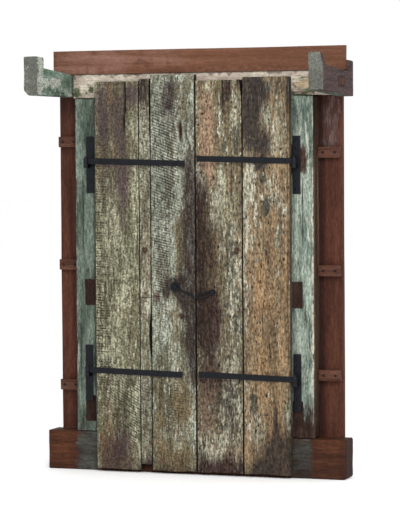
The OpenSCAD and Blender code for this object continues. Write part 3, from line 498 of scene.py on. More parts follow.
plankBase = {
    "slot": "weathered_plank", "y": (-97.5, -59.5), "grain": 2, "round": 2.5, "pitch": (4.5, 9.0, 3.2),
    "hollow": 1.2, "ridge": 0.7, "nick": 2.2, "lineHalf": 3.2, "lostTo": -70, "paleEdge": 0.2,
    "sideShade": (0.95, 0.95), "slateSpots": []}
leftOuter = {
    **plankBase, "nodes": ["plank_left_outer"], "body": "left_leaf", "seed": 11, "x": (-468.5, -249.5),
    "z": (12, 1820), "paleEdge": 0.35, "sideShade": (0.2, 0.95),
    "saw": [
        (12, 0.05, [(-440, 1120, 34, 440, 0.85), (-440, 560, 36, 240, 0.8), (-270, 1150, 20, 200, 0.5)]),
        (12, -0.3, [(-400, 1100, 50, 330, 0.4), (-300, 900, 40, 330, 0.4)]),
        (13, 0.55, [(-330, 330, 90, 150, 0.8), (-290, 250, 34, 150, 0.7), (-425, 470, 30, 90, 0.8)])],
    "cracks": [(-318.5, 1840, 1560, 26), (-300, 1300, 1080, 2), (-420, 900, 640, 1)],
    "scratches": [
        (-300, 1666, -252, 1667, 1.5, 0.5), (-312, 1301, -250, 1287, 1.5, 0.6),
        (-452, 1590, -400, 1588, 1, 0.4)],
    "paintLeft": 0.33,
    "paintSpots": [
        (-409, 1130, 60, 200, 0.19), (-300, 1000, 40, 220, 0.12), (-380, 600, 90, 260, 0.16),
        (-282, 270, 36, 150, 0.3), (-382, 1490, 14, 26, 0.4), (-275, 1600, 22, 70, 0.25),
        (-275, 1350, 22, 90, 0.22), (-380, 1640, 70, 220, -0.3), (-400, 70, 60, 80, -0.3)],
    "slateSpots": [(-290, 1010, 16, 100, 0.3), (-340, 1190, 12, 100, 0.3), (-310, 330, 50, 120, 0.25)],
    "warmSpots": [
        (-391, 1760, 15, 66, 0.8), (-372, 1500, 20, 60, 0.3), (-404, 268, 14, 90, 0.7),
        (-440, 1420, 30, 100, 0.2), (-430, 150, 16, 90, 0.3), (-370, 80, 110, 110, 0.75)],
    "stainAndShadeSpots": [
        (-434, 1660, 18, 150, 0.55), (-390, 1660, 90, 170, 0.4), (-362, 1640, 8, 120, 0.3),
        (-408, 1600, 7, 90, 0.3), (-330, 1582, 18, 160, 0.5), (-281, 1756, 36, 56, 0.8),
        (-326, 1340, 34, 60, 0.75), (-330, 1420, 20, 80, 0.35), (-326, 1240, 16, 100, 0.35),
        (-400, 1380, 80, 100, 0.25), (-340, 1170, 14, 100, 0.25), (-384, 90, 80, 80, 0.6),
        (-340, 130, 40, 90, 0.4), (-280, 30, 40, 36, 0.2)],
    "wetSpots": [(-384, 70, 90, 100, 0.34)]}
leftMiddle = {
    **plankBase, "nodes": ["plank_left_middle"], "body": "left_leaf", "seed": 23, "x": (-247.5, -192.5),
    "z": (38, 1829), "saw": [(12, 0.2, [(-222, 1450, 30, 220, 0.5), (-222, 350, 30, 140, 0.5)])],
    "paleEdge": 0.4, "cracks": [(-222, 1300, 1100, 1)], "lost": [(1740, 260, 6), (647, 120, 12)],
    "scratches": [(-247, 817, -194, 817, 2, 0.8)], "rings": [(-222, 1037, 10)],
    "holes": [(-222, 1690, 3, 6, 6), (-221, 836, 2.5, 5, 9), (-219, 800, 2.5, 6, 6)], "paintLeft": 0.46,
    "paintSpots": [
        (-222, 1500, 40, 220, 0.12), (-222, 960, 40, 170, -0.05), (-222, 330, 30, 120, 0.1),
        (-222, 1690, 12, 12, 0.5)],
    "slateSpots": [(-226, 1560, 16, 120, 0.35), (-222, 1200, 20, 80, 0.3)],
    "warmSpots": [(-222, 940, 34, 180, 0.6), (-222, 400, 34, 140, 0.45), (-222, 160, 28, 90, 0.6)],
    "stainAndShadeSpots": [
        (-224, 1775, 30, 70, 0.95), (-222, 1670, 30, 60, 0.2), (-222, 1037, 18, 24, 0.4),
        (-240, 1100, 8, 120, 0.3), (-222, 330, 30, 160, 0.2), (-222, 60, 30, 40, 0.4)]}
leftInner = {
    **plankBase, "nodes": ["plank_left_inner"], "body": "left_leaf", "seed": 37, "x": (-190.5, 25.5),
    "z": (12, 1846),
    "saw": [
        (13, 0.40, [(-128, 1640, 60, 170, 1.0), (-112, 1520, 60, 130, 0.9), (-116, 1340, 72, 180, 1.0)]),
        (11.5, 0.2, [(-140, 1070, 48, 200, 1.0), (-150, 800, 36, 120, 0.6), (-150, 620, 30, 90, 0.4)]),
        (11.5, 0.12, [(-66, 310, 34, 110, 0.75)]), (11, -0.6, [(2, 1600, 22, 120, 0.8)])],
    "cracks": [
        (-42, 1640, 1500, 4), (-99, 1300, 960, 1), (-150, 800, 620, 1), (-90, 760, 600, 1),
        (-60, 380, 180, 1)],
    "knots": [(-42, 1584, 12, 60)], "rings": [(-40, 733, 10)],
    "holes": [
        (-31, 1716, 3, 5, 5), (-175, 1243, 3, 6, 6), (-163, 822, 5, 15, 28), (-40, 733, 4, 8, 8),
        (-46.5, 1690, 3, 5, 5)],
    "paintLeft": 0.52,
    "paintSpots": [
        (-40, 1765, 26, 55, -0.16), (-40, 1060, 34, 200, -0.3), (-65, 690, 34, 110, -0.25),
        (-90, 330, 120, 240, -0.34), (-80, 50, 130, 90, -0.4), (-60, 1340, 22, 110, 0.12)],
    "slateSpots": [(-118, 1726, 34, 90, 0.3), (-104, 1300, 20, 130, 0.25)],
    "warmSpots": [
        (-62, 690, 28, 100, 0.7), (-30, 300, 40, 160, 0.35), (-150, 170, 30, 120, 0.45),
        (-50, 1080, 26, 180, 0.35), (-90, 330, 110, 200, 0.42), (-83, 50, 120, 90, 0.7)],
    "stainAndShadeSpots": [
        (-102, 1756, 26, 66, 0.7), (-116, 1700, 46, 130, 0.36), (-130, 1500, 60, 300, 0.14),
        (-5, 1400, 26, 80, 0.5), (10, 1140, 32, 330, 1.0), (-22, 1080, 44, 290, 0.36),
        (-62, 864, 60, 44, 1.5), (-20, 842, 50, 50, 1.2), (8, 690, 36, 180, 1.0), (14, 470, 20, 120, 0.5),
        (-83, 40, 130, 60, 0.3)]}
rightInner = {
    **plankBase, "nodes": ["plank_right_inner"], "body": "right_leaf", "seed": 51, "x": (30.5, 253.5),
    "z": (12, 1818), "paleEdge": 0.15, "saw": [(12, -0.3, [(120, 120, 70, 50, 0.4)])],
    "cracks": [(158.5, 1840, 1679, 26), (205, 1500, 1250, 2), (95, 420, 200, 1), (180, 1150, 900, 2)],
    "lost": [(1822, 84, 12)], "rings": [(226.5, 1037, 11)],
    "holes": [
        (83, 1719, 3.5, 6, 6), (64, 1663, 4, 10, 7), (44, 1612, 4, 7, 7), (104.8, 1690, 3, 5, 5),
        (207, 1714, 4, 6, 6), (118, 1370, 4, 6, 12), (105, 150, 3, 5, 5)],
    "paintLeft": 0.28,
    "paintSpots": [
        (228, 1690, 24, 120, 0.22), (200, 980, 40, 280, 0.16), (190, 330, 50, 190, 0.16),
        (140, 150, 100, 60, 0.2), (135, 1240, 34, 120, 0.3), (85, 1580, 50, 220, -0.16),
        (80, 950, 46, 280, -0.3), (50, 1340, 20, 70, 0.25), (150, 1340, 30, 80, 0.2),
        (190, 500, 44, 60, 0.3)],
    "slateSpots": [
        (226, 1547, 16, 64, 1.2), (228, 1730, 22, 100, 0.46), (204, 950, 42, 270, 0.61),
        (200, 330, 52, 190, 0.66), (52, 110, 16, 44, 0.9), (236, 640, 14, 120, 0.5),
        (170, 1560, 12, 140, 0.4), (236, 1340, 10, 90, 0.4), (100, 330, 60, 170, 0.3)],
    "warmSpots": [
        (78, 1610, 54, 230, 0.46), (90, 1560, 26, 130, 0.3), (189, 1530, 9, 100, 0.5),
        (92, 1400, 16, 70, 0.6), (189, 1370, 10, 70, 0.5), (130, 1000, 14, 190, 0.4),
        (132, 715, 18, 110, 0.6), (76, 300, 24, 110, 0.4), (140, 60, 130, 90, 0.5),
        (140, 330, 120, 200, 0.3), (140, 720, 30, 120, 0.4)],
    "stainAndShadeSpots": [
        (181, 1782, 20, 62, 0.9), (172, 1680, 9, 70, 0.5), (56, 1310, 34, 110, 0.5),
        (84, 1030, 56, 260, 0.55), (46, 1060, 24, 260, 0.4), (78, 710, 66, 112, 1.5),
        (132, 700, 16, 90, 0.4), (80, 500, 52, 110, 0.42), (120, 330, 130, 210, 0.36),
        (200, 1000, 60, 300, 0.1), (225, 1700, 34, 130, 0.16), (140, 30, 170, 56, 0.75),
        (234, 1790, 10, 30, 0.5)]}
rightOuter = {
    **plankBase, "nodes": ["plank_right_outer"], "body": "right_leaf", "seed": 67, "x": (257.5, 481.5),
    "z": (12, 1829), "paleEdge": 0.3, "sideShade": (0.95, 0.25),
    "saw": [(13, 0.7, [(300, 1740, 40, 46, 0.4)])],
    "cracks": [
        (330, 1250, 1120, 2), (359, 1120, 1010, 3), (440, 900, 760, 1), (350, 760, 600, 2),
        (300, 420, 300, 2), (474, 1800, 60, 2), (308, 1010, 930, 2), (440, 1240, 1150, 2)],
    "scratches": [(273, 1561, 329, 1542, 0.5, 0.0)],
    "holes": [
        (369.5, 1690, 3, 5, 5), (440, 1500, 4, 6, 6), (453, 1000, 4, 6, 10), (292, 940, 3, 4, 9),
        (300, 870, 3, 5, 8), (310, 890, 3, 4, 4), (335, 1065, 4, 5, 12), (320, 1340, 3, 4, 8)],
    "paintLeft": 0.12,
    "paintSpots": [
        (370, 1665, 24, 80, 0.5), (375, 1800, 18, 24, 0.4), (430, 1580, 46, 150, 0.34),
        (290, 1330, 34, 130, 0.42), (272, 1000, 12, 420, 0.35), (424, 1120, 14, 60, 0.45),
        (320, 220, 40, 80, 0.3), (468, 350, 14, 150, 0.35), (400, 1290, 70, 80, 0.28),
        (275, 330, 14, 200, 0.2)],
    "slateSpots": [
        (370, 1660, 26, 80, 0.3), (290, 1330, 34, 130, 0.36), (370, 1250, 20, 36, 1.3),
        (414, 1268, 13, 26, 1.2), (306, 325, 15, 46, 1.25), (320, 220, 44, 80, 0.36),
        (468, 330, 14, 150, 0.4), (355, 1375, 17, 52, 0.7), (424, 1120, 16, 60, 0.3),
        (300, 600, 20, 120, 0.2)],
    "warmSpots": [
        (390, 1000, 80, 220, 0.3), (380, 700, 90, 220, 0.35), (340, 900, 60, 200, 0.2),
        (285, 1440, 12, 26, 0.9), (440, 1440, 24, 60, 0.3), (370, 420, 60, 160, 0.4),
        (266, 400, 8, 300, 0.4), (420, 90, 90, 140, 0.8), (370, 260, 80, 120, 0.3)],
    "stainAndShadeSpots": [
        (294, 1690, 46, 190, 1.15), (358, 1750, 50, 66, 0.6), (440, 1790, 40, 30, 0.35),
        (478, 1770, 12, 80, 0.6), (366, 1520, 36, 56, 0.7), (300, 1530, 34, 44, 0.45),
        (340, 1440, 32, 28, 0.6), (370, 720, 100, 240, 0.1), (360, 700, 40, 90, 0.15),
        (412, 280, 10, 64, 0.75), (430, 80, 76, 150, 1.1), (360, 50, 60, 50, 0.4), (300, 30, 70, 36, 0.3),
        (450, 900, 20, 300, 0.15)],
    "wetSpots": [(430, 60, 70, 120, 0.12)]}
for plankName, plankSettings in {"leftOuter": leftOuter, "leftMiddle": leftMiddle, "leftInner": leftInner,
                                 "rightInner": rightInner, "rightOuter": rightOuter}.items():
    makePlank(plankName, plankSettings)
print("planks made")


# a squared timber of the frame, worn all over; its masks come from the settings
def makeBeam(name, look, material):
    piece = addBlock(name, look["low"], look["high"])
    roundAndDivide(piece, look["round"], look["pitch"])
    wearTimber(piece, look)
    places, normals = readMesh(piece)
    x, y, z = (places / mm).T
    seed, grain, ragged = look["seed"], look["grain"], 0.35
    spots = lambda key, shift, *edge: softSpots(places, look.get(key, []), seed + shift, *edge)
    front = np.clip((-normals[:, 1] - 0.5) / 0.4, 0, 1)
    paint = look.get("paintLeft", 0) * np.ones(len(places))
    stainAndShade = spots("stainAndShadeSpots", 50, ragged)
    cut = 0.9 * np.clip((np.abs(normals[:, grain]) - 0.5) / 0.3, 0, 1) * look.get("darkEnds", 0)
    for lowX, highX, lowZ, highZ, depth in look.get("housings", []):
        rough = 3 * lumps(places, (14, 30, 14), seed + 60)
        inside = (x + rough > lowX) & (x + rough < highX) & (z + rough > lowZ) & (z + rough < highZ)
        inside &= front > 0.3
        y = np.where(inside, y + depth, y)
        paint = np.where(inside, -0.5, paint)
        stainAndShade = np.where(inside, 0.75, stainAndShade)
    for crackPlace, crackLow, crackHigh, crackDepth in look.get("cracks", []):
        across, along = (x, z) if grain == 2 else (z, x)
        lengthwise = places * (grain == 0, 0, grain == 2)
        line = crackPlace + 4 * lumps(lengthwise, (90, 50, 90), seed + 20 + int(crackPlace) % 7)
        inside = np.clip((crackHigh - along) / 40, 0, 1) * np.clip((along - crackLow) / 40, 0, 1)
        near = np.clip(1 - np.abs(across - line) / (0.9 * look["pitch"][0]), 0, 1) * inside * front
        y = y + crackDepth * near
        cut = np.maximum(cut, look.get("crackShade", 1) * near)
    if "darkAbove" in look:  # painted shade on the lintel's top arris, in the shut joint under the board
        cut = np.maximum(cut, np.clip((z - look["darkAbove"]) / 2, 0, 1) * (y < -45))
    for eyeX, eyeZ, halfX, fall in look.get("eyes", []):  # the angle the grain makes over a knot
        far = np.where(x < eyeX, 1.5, 1) * np.abs(x - eyeX) / halfX
        under = eyeZ - fall * np.clip(far, 0, 1.2) - z
        within = np.clip(5 - 5 * far, 0, 1) * front
        cut = np.maximum(cut, 0.6 * np.clip(1.2 - np.abs(under) / 4, 0, 1) * within)
        stainAndShade = np.maximum(stainAndShade, 0.35 * np.clip(1.2 - np.abs(under - 12) / 10, 0, 1) * within)
    if "wornCorner" in look:  # x, z and radius of a corner that has gone round
        cornerX, cornerZ, radius = look["wornCorner"]
        far = np.hypot(x - cornerX, z - cornerZ)
        pull = np.where((x > cornerX) & (z < cornerZ) & (far > radius), radius / np.maximum(far, 1), 1)
        x, z = cornerX + (x - cornerX) * pull, cornerZ + (z - cornerZ) * pull
    writeMesh(piece, np.stack([x, y, z], axis=1) * mm)
    paint = paint + spots("paintSpots", 40, ragged) + look.get("paintBack", 0) * (normals[:, 1] > 0.5)
    paint -= 1.5 * (normals[:, 0] * look.get("bareSide", 0) > 0.6)
    writeMask(piece, "paintLeft", paint)
    writeMask(piece, "otherPaint", spots("otherSpots", 45, ragged, 2))
    writeMask(piece, "warmWood", spots("warmSpots", 47))
    writeMask(piece, "stainAndShadeDepth", np.clip(stainAndShade, 0, 0.95))
    writeMask(piece, "cutAndShadeDepth", cut)
    dress(piece, look, material)


redBase = {"body": "root", "slot": "red_brown_timber", "hollow": 2.0, "ridge": 0.6, "nick": 3.0}
sillBeam = {
    **redBase, "nodes": ["sill"], "low": (-731.5, -59, 0), "high": (731.5, 59, 182), "round": 4,
    "pitch": (8, 9, 7), "grain": 0, "seed": 5, "tight": (2, 1), "darkEnds": 0.6, "crackShade": 0.5,
    "paintLeft": -0.6, "paintBack": -1.5,
    "paintSpots": [(-525, 92, 70, 130, 1.6), (512, 92, 74, 120, 1.45)], "wornCorner": (713.5, 18, 18),
    "stainAndShadeSpots": [
        (0, 90, 480, 200, 0.4), (600, 30, 120, 30, 0.4), (-700, 20, 60, 30, 0.3), (-590, 60, 40, 60, 0.3),
        (720, 90, 24, 120, 0.4), (520, 92, 70, 130, 0.35)],
    "warmSpots": [(-650, 110, 50, 60, 0.5), (660, 140, 60, 30, 0.5)],
    "cracks": [
        (112, 590, 731, 2), (84, 600, 731, 3), (52, 620, 731, 3), (130, -731, -600, 2),
        (70, -731, -640, 2)]}
makeBeam("sillBeam", sillBeam, redSill)
topBoard = {
    **redBase, "nodes": ["top_board"], "low": (-690.5, -59, 1854), "high": (735.5, -33, 1964),
    "round": 1.8, "pitch": (5, 6, 4), "grain": 0, "seed": 6, "tight": (2, -1),
    "warmSpots": [(-500, 1920, 200, 70, 0.6), (-150, 1930, 120, 40, 0.3)], "eyes": [(-256, 1919, 54, 24)],
    "stainAndShadeSpots": [(300, 1860, 500, 12, 0.3), (500, 1930, 200, 60, 0.15), (-690, 1910, 20, 60, 0.3)]}
makeBeam("topBoard", topBoard, redBoard)
leftBackPlank = {
    **redBase, "nodes": ["back_plank_left"], "low": (-695.5, 25, 182), "high": (-465.5, 59, 1854),
    "round": 2.5, "pitch": (8, 8, 12), "grain": 2, "seed": 7, "tight": (2, -1), "paintLeft": -0.6,
    # the spot at (-640, 1760) under the arm and the long strips at the jamb are painted shade
    "stainAndShadeSpots": [
        (-640, 1760, 90, 110, 0.6), (-540, 1000, 60, 900, 0.45), (-592, 1000, 12, 900, 0.5),
        (-680, 1300, 20, 200, 0.3)],
    "warmSpots": [(-660, 900, 30, 400, 0.4)]}
rightBackPlank = {
    **redBase, "nodes": ["back_plank_right"], "low": (465.5, 25, 182), "high": (695.5, 59, 1854),
    "round": 2.5, "pitch": (8, 8, 12), "grain": 2, "seed": 8, "tight": (2, -1), "paintLeft": -0.6,
    "paintBack": -1.5, "paintSpots": [(640, 1610, 60, 190, 1.1)],
    # the long strips at the jamb are painted shade in the corner
    "stainAndShadeSpots": [(640, 1790, 90, 50, 0.4), (560, 1000, 60, 900, 0.5), (592, 1000, 14, 900, 0.6)],
    "warmSpots": [(650, 1050, 40, 250, 0.4), (660, 600, 40, 200, 0.4)]}
makeBeam("leftBackPlank", leftBackPlank, redUpright)
makeBeam("rightBackPlank", rightBackPlank, redUpright)

jambBase = {
    "body": "root", "slot": "mint_painted_timber", "round": 5, "pitch": (5, 8, 7), "grain": 2,
    "hollow": 2.0, "ridge": 1.0, "nick": 4.0, "paintBack": -0.7, "darkEnds": 1}
leftJamb = {
    **jambBase, "nodes": ["jamb_left"], "low": (-585.5, -59, 182), "high": (-440.5, 25, 1742), "seed": 81,
    "paintLeft": 0.86, "bareSide": -1,
    "housings": [(-538.5, -486.5, 779, 895, 4), (-538.5, -486.5, 234, 350, 4)],
    "paintSpots": [(-560, 260, 60, 90, -0.1)],
    "otherSpots": [(-582, 1100, 12, 620, 0.45), (-575, 500, 14, 200, 0.4)],
    # the long strip at x -478, by the leaf's edge, is the leaf's shadow, painted on
    "stainAndShadeSpots": [
        (-478, 1000, 14, 900, 0.75), (-530, 230, 60, 60, 0.4), (-530, 1710, 60, 40, 0.15),
        (-540, 1000, 60, 330, 0.2)],
    "cracks": [(-545, 1000, 1400, 3), (-560, 350, 700, 3)]}
rightJamb = {
    **jambBase, "nodes": ["jamb_right"], "low": (440.5, -59, 182), "high": (585.5, 25, 1742), "seed": 93,
    "paintLeft": 0.88, "bareSide": 1,
    "housings": [(477.5, 529.5, 779, 895, 4), (477.5, 529.5, 234, 350, 4)],
    "paintSpots": [
        (500, 1450, 44, 64, -1.3), (540, 190, 90, 84, -0.6), (530, 250, 60, 90, -0.3),
        (556, 330, 34, 50, -0.16), (556, 700, 24, 90, -0.25)],
    "otherSpots": [
        (583, 900, 9, 720, 0.7), (556, 1100, 12, 300, 0.4), (556, 560, 24, 240, 0.3),
        (540, 1600, 36, 140, 0.4), (558, 1440, 11, 90, 0.6)],
    # the long strip at x 488, by the leaf's edge, is the leaf's shadow, painted on
    "stainAndShadeSpots": [
        (488, 1000, 10, 800, 0.45), (530, 210, 90, 50, 0.6), (566, 330, 20, 44, 0.55),
        (548, 300, 16, 36, 0.5), (530, 270, 60, 40, 0.3), (506, 1450, 44, 66, 0.75),
        (500, 1640, 20, 80, 0.2)],
    "warmSpots": [(556, 620, 26, 260, 0.3)], "cracks": [(530, 1050, 1380, 3), (560, 500, 760, 3)]}
makeBeam("leftJamb", leftJamb, mintShadedLeft)
makeBeam("rightJamb", rightJamb, mintLitRight)
lintelBeam = {
    "body": "root", "slot": "cream_painted_timber", "nodes": ["lintel"], "low": (-592.5, -59, 1742),
    "high": (685.5, 25, 1854), "round": 4, "tight": (2, 1), "pitch": (8, 8, 6), "grain": 0, "seed": 101,
    "hollow": 2.0, "ridge": 0.6, "nick": 3.0, "paintLeft": 0.9, "paintBack": -0.9, "darkEnds": 1,
    "darkAbove": 1849,
    "otherSpots": [
        (-575, 1762, 22, 22, 0.7), (-540, 1747, 60, 8, 0.4), (530, 1750, 70, 14, 0.8),
        (580, 1800, 12, 60, 0.7), (-500, 1790, 16, 22, 0.9), (-540, 1790, 40, 30, 0.2),
        (530, 1800, 70, 50, 0.4)],
    "paintSpots": [(530, 1795, 46, 40, -0.5), (-540, 1768, 26, 22, -0.4)],
    # the last spot, a thin line along the top edge under the board, is painted shade
    "stainAndShadeSpots": [
        (-583, 1838, 10, 10, 0.8), (492, 1790, 8, 8, 0.9), (-500, 1790, 14, 18, 0.4),
        (530, 1748, 70, 16, 0.6), (-560, 1752, 60, 16, 0.5), (-572, 1800, 12, 40, 0.3),
        (0, 1750, 480, 30, 0.3), (0, 1858, 620, 8, 0.8)]}
makeBeam("lintelBeam", lintelBeam, creamPaint)

cleatBase = {
    **redBase, "round": 2, "pitch": (7, 8, 7), "grain": 0, "hollow": 1.0, "nick": 2.0, "seed": 113}
ledgeBase = {
    "slot": "bare_ledge_timber", "body": "{}_leaf", "round": 2.5, "pitch": (9, 8, 8), "grain": 0,
    "hollow": 1.0, "ridge": 0.6, "nick": 2.0, "seed": 140}
for kind, base, wood in (("cleat", cleatBase, redCleat), ("ledge", ledgeBase, ledgeWood)):
    for side in ("left", "right"):
        for level in ("top", "mid", "low"):
            node = f"{kind}_{side}_{level}"
            low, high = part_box(node)
            block = {**base, "nodes": [node], "body": base["body"].format(side), "low": low / mm,
                     "high": high / mm, "seed": base["seed"] + len(side) * 3 + ord(level[0])}
            makeBeam(f"{side}{kind.title()}{level.title()}", block, wood)
print("frame timbers made")


# an arm: a beam with a prong at each end and a saddle between, sizes in mm
def makeArm(name, look):
    (lowX, highX), (frontY, backY), (boardFront, boardBack) = look["x"], look["y"], look["boardY"]
    under, seat, prongY, seed = look["under"], look["seat"], look["prongY"], look["seed"]
    piece = addBlock(name, (lowX, frontY, under), (highX, backY, seat))
    bpy.ops.object.mode_set(mode="EDIT")
    for sliceY in (prongY, boardFront, boardBack):
        bpy.ops.mesh.select_all(action="SELECT")
        bpy.ops.mesh.bisect(plane_co=(0, sliceY * mm, 0), plane_no=(0, 1, 0))
    for low, high, top in ((frontY, prongY, look["prongTop"]), (boardBack, backY, look["rearTop"])):
        mesh = bmesh.from_edit_mesh(piece.data)
        bpy.ops.mesh.select_all(action="DESELECT")
        mesh.select_mode = {"FACE"}
        for face in mesh.faces:
            middle = face.calc_center_median() / mm
            face.select_set(face.normal.z > 0.9 and low < middle.y < high)
        mesh.select_flush_mode()
        bmesh.update_edit_mesh(piece.data)
        bpy.ops.mesh.extrude_region_move(TRANSFORM_OT_translate={"value": (0, 0, (top - seat) * mm)})
    mesh = bmesh.from_edit_mesh(piece.data)
    for corner in mesh.verts:  # the saddle climbs to the prong, the underside leans
        x, y, z = corner.co / mm
        if abs(y - prongY) < 1 and abs(z - seat) < 1:
            corner.co.z += look["climb"] * mm
        if abs(z - under) < 1:
            corner.co.z += look["lean"] * ((frontY + backY) / 2 - y) / (backY - frontY) * mm
        outer = (x - (lowX + highX) / 2) * look["inward"] < 0
        if z > look["rearTop"] - 2 and y > look["rearFrom"] and outer:
            corner.co.z -= look["rearWorn"] * mm
        if z > look["prongTop"] - 2:
            corner.co.z -= look["prongWorn"] * mm * (y > frontY + 1)
            if x > highX - 1:
                corner.co.x -= look["taper"] * mm
    bmesh.update_edit_mesh(piece.data)
    if look["cornerCut"]:  # the lower outer corner is sawn off
        bpy.ops.mesh.select_all(action="SELECT")
        cutX, cutZ = look["cornerCut"]
        bpy.ops.mesh.bisect(plane_co=((lowX + cutX) * mm, 0, under * mm), plane_no=(-cutZ, 0, -cutX),
                            use_fill=True, clear_outer=True)
    bpy.ops.object.mode_set(mode="OBJECT")
    applyModifier(piece, "BEVEL", width=look["round"] * mm, segments=2)
    applyModifier(piece, "REMESH", mode="VOXEL", voxel_size=look["voxel"] * mm)
    wearTimber(piece, look)
    places, normals = readMesh(piece)
    y, z = (places / mm).T[1:]
    inward = normals[:, 0] * look["inward"]
    faceFront, faceIn, faceOut = (normals[:, 1] < -0.6) & (y < -300), inward > 0.6, inward < -0.6
    blots = lambda spots, sway: sum(
        amount * np.exp(-((y - spotY + sway) / halfY) ** 4 - ((z - spotZ) / halfZ) ** 4)
        for spotY, spotZ, halfY, halfZ, amount in spots)
    paint = np.full(len(places), look["paintElse"])
    paint[faceFront], paint[faceIn], paint[faceOut] = look["paintFront"], look["paintIn"], look["paintOut"]
    paint += 0.25 * lumps(places, (60, 80, 60), seed + 40) - (y > look["rearFrom"])
    writeMask(piece, "paintLeft", paint)
    white = 0.15 * lumps(places, (40, 40, 30), seed + 41) + 0.4 * faceFront
    white += blots(look["whiteSpots"], 14 * lumps(places, (40, 30, 30), seed + 42))
    writeMask(piece, "otherPaint", white)
    slate = np.where(faceFront, 1.1, np.where(faceIn, 0.1, 0.5 * (paint > 0.2)))
    writeMask(piece, "slateLeft", slate)
    writeMask(piece, "warmWood", np.zeros(len(places)))
    # faces looking down are darkened evenly as painted shade; faces looking up and the inner face get patchy
    # dirt
    dirtAndUnderShade = 0.3 * (normals[:, 2] < -0.6) + 0.25 * (normals[:, 2] > 0.6) * lumps(places, (30, 30, 30), 9)
    dirtAndUnderShade += 0.4 * faceIn * np.clip(lumps(places, (24, 30, 24), seed + 44), 0, 1)
    writeMask(piece, "stainAndShadeDepth", np.clip(dirtAndUnderShade + blots(look["dirtSpots"], 0), 0, 1))
    rim = np.zeros(len(places))
    if "plug" in look:  # the joint round the plug
        past = np.abs(places / mm - look["plug"].mean(axis=0)) - np.ptp(look["plug"], axis=0) / 2
        rim = np.clip(1.6 - past[:, 1:].max(axis=1) / 4, 0, 1) * faceOut
    writeMask(piece, "cutAndShadeDepth", rim)
    dress(piece, look, armPaint)


plugLow, plugHigh = (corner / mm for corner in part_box("arm_plug"))
armBase = {
    "body": "root", "slot": "mint_painted_timber", "y": (-463, -1), "boardY": (-59, -32.5), "grain": 1,
    "round": 4, "voxel": 4.5, "hollow": 2.0, "ridge": 0.6, "nick": 3.0, "rearTop": 1912, "rearFrom": -40,
    "rearWorn": 18, "prongWorn": 3}
leftArm = {
    **armBase, "nodes": ["arm_left"], "seed": 171, "x": (-664.5, -592.5), "under": 1747, "seat": 1854,
    "prongY": -388, "prongTop": 1926, "climb": 22, "lean": 0, "taper": 0, "cornerCut": (23, 35),
    "inward": 1, "paintFront": 0.16, "paintIn": 0.9, "paintOut": 0.4, "paintElse": 0.5,
    "whiteSpots": [
        (-430, 1830, 34, 120, 0.9), (-300, 1812, 120, 24, 0.8), (-210, 1775, 130, 22, 0.4),
        (-80, 1755, 30, 12, 0.7)],
    "dirtSpots": [
        (-130, 1800, 66, 46, 0.35), (-62, 1800, 8, 60, 0.7), (-463, 1870, 12, 40, 0.25),
        (-463, 1770, 12, 30, 0.2)]}
rightArm = {
    **armBase, "nodes": ["arm_right"], "seed": 183, "x": (685.5, 757.5), "under": 1742, "seat": 1846,
    "prongY": -421, "prongTop": 1921, "climb": 19, "lean": 18, "taper": 16, "cornerCut": None,
    "inward": -1, "paintFront": 0.14, "paintIn": 0.7, "paintOut": -0.3, "paintElse": 0.3,
    "whiteSpots": [(-463, 1915, 30, 14, 0.6), (-300, 1800, 120, 30, 0.5)],
    "dirtSpots": [(-180, 1846, 46, 7, 0.9), (-380, 1800, 40, 90, 0.12), (-463, 1790, 12, 54, 0.3)]}
rightArm["plug"] = np.array([plugLow, plugHigh])
makeArm("leftArm", leftArm)
makeArm("rightArm", rightArm)
armPlug = {
    **redBase, "nodes": ["arm_plug"], "low": plugLow, "high": plugHigh, "round": 2, "pitch": (6, 6, 6),
    "grain": 1, "hollow": 1.0, "nick": 2.0, "seed": 190, "paintLeft": -0.6}
makeBeam("armPlug", armPlug, redUpright)
print("arms made")


# a round bar, or a rolled eye if it has a bore, upright at x and y; mm
def addRound(name, x, y, radius, bore, low, high):
    bpy.ops.object.select_all(action="DESELECT")
    bpy.ops.mesh.primitive_cylinder_add(
        vertices=40, radius=radius * mm, depth=(high - low) * mm,
        end_fill_type="NOTHING" if bore else "NGON", location=(x * mm, y * mm, (low + high) / 2 * mm))
    piece = bpy.context.object
    piece.name = name
    bpy.ops.object.transform_apply(location=True, rotation=True, scale=True)
    if bore:
        applyModifier(piece, "SOLIDIFY", thickness=(radius - bore) * mm)
    applyModifier(piece, "BEVEL", width=0.8 * mm, segments=2)
    return piece


# welds the parts to the first, then leaves hammer dints and pits; iron only ever comes off, and not behind
def forge(parts, look):
    bpy.ops.object.select_all(action="DESELECT")
    for part in parts:
        part.select_set(True)
    bpy.context.view_layer.objects.active = parts[0]
    bpy.ops.object.join()
    places, normals = readMesh(parts[0])
    dints = 0.5 + 0.5 * lumps(places, (18, 18, 18), look["seed"])
    pits = np.clip(lumps(places, (6, 6, 6), look["seed"] + 1), 0, 1)
    away = (look["dint"] * dints + look["pit"] * pits) * (normals[:, 1] < 0.5)
    writeMesh(parts[0], places - normals * away[:, None] * mm)
    dress(parts[0], look, forgedIron)


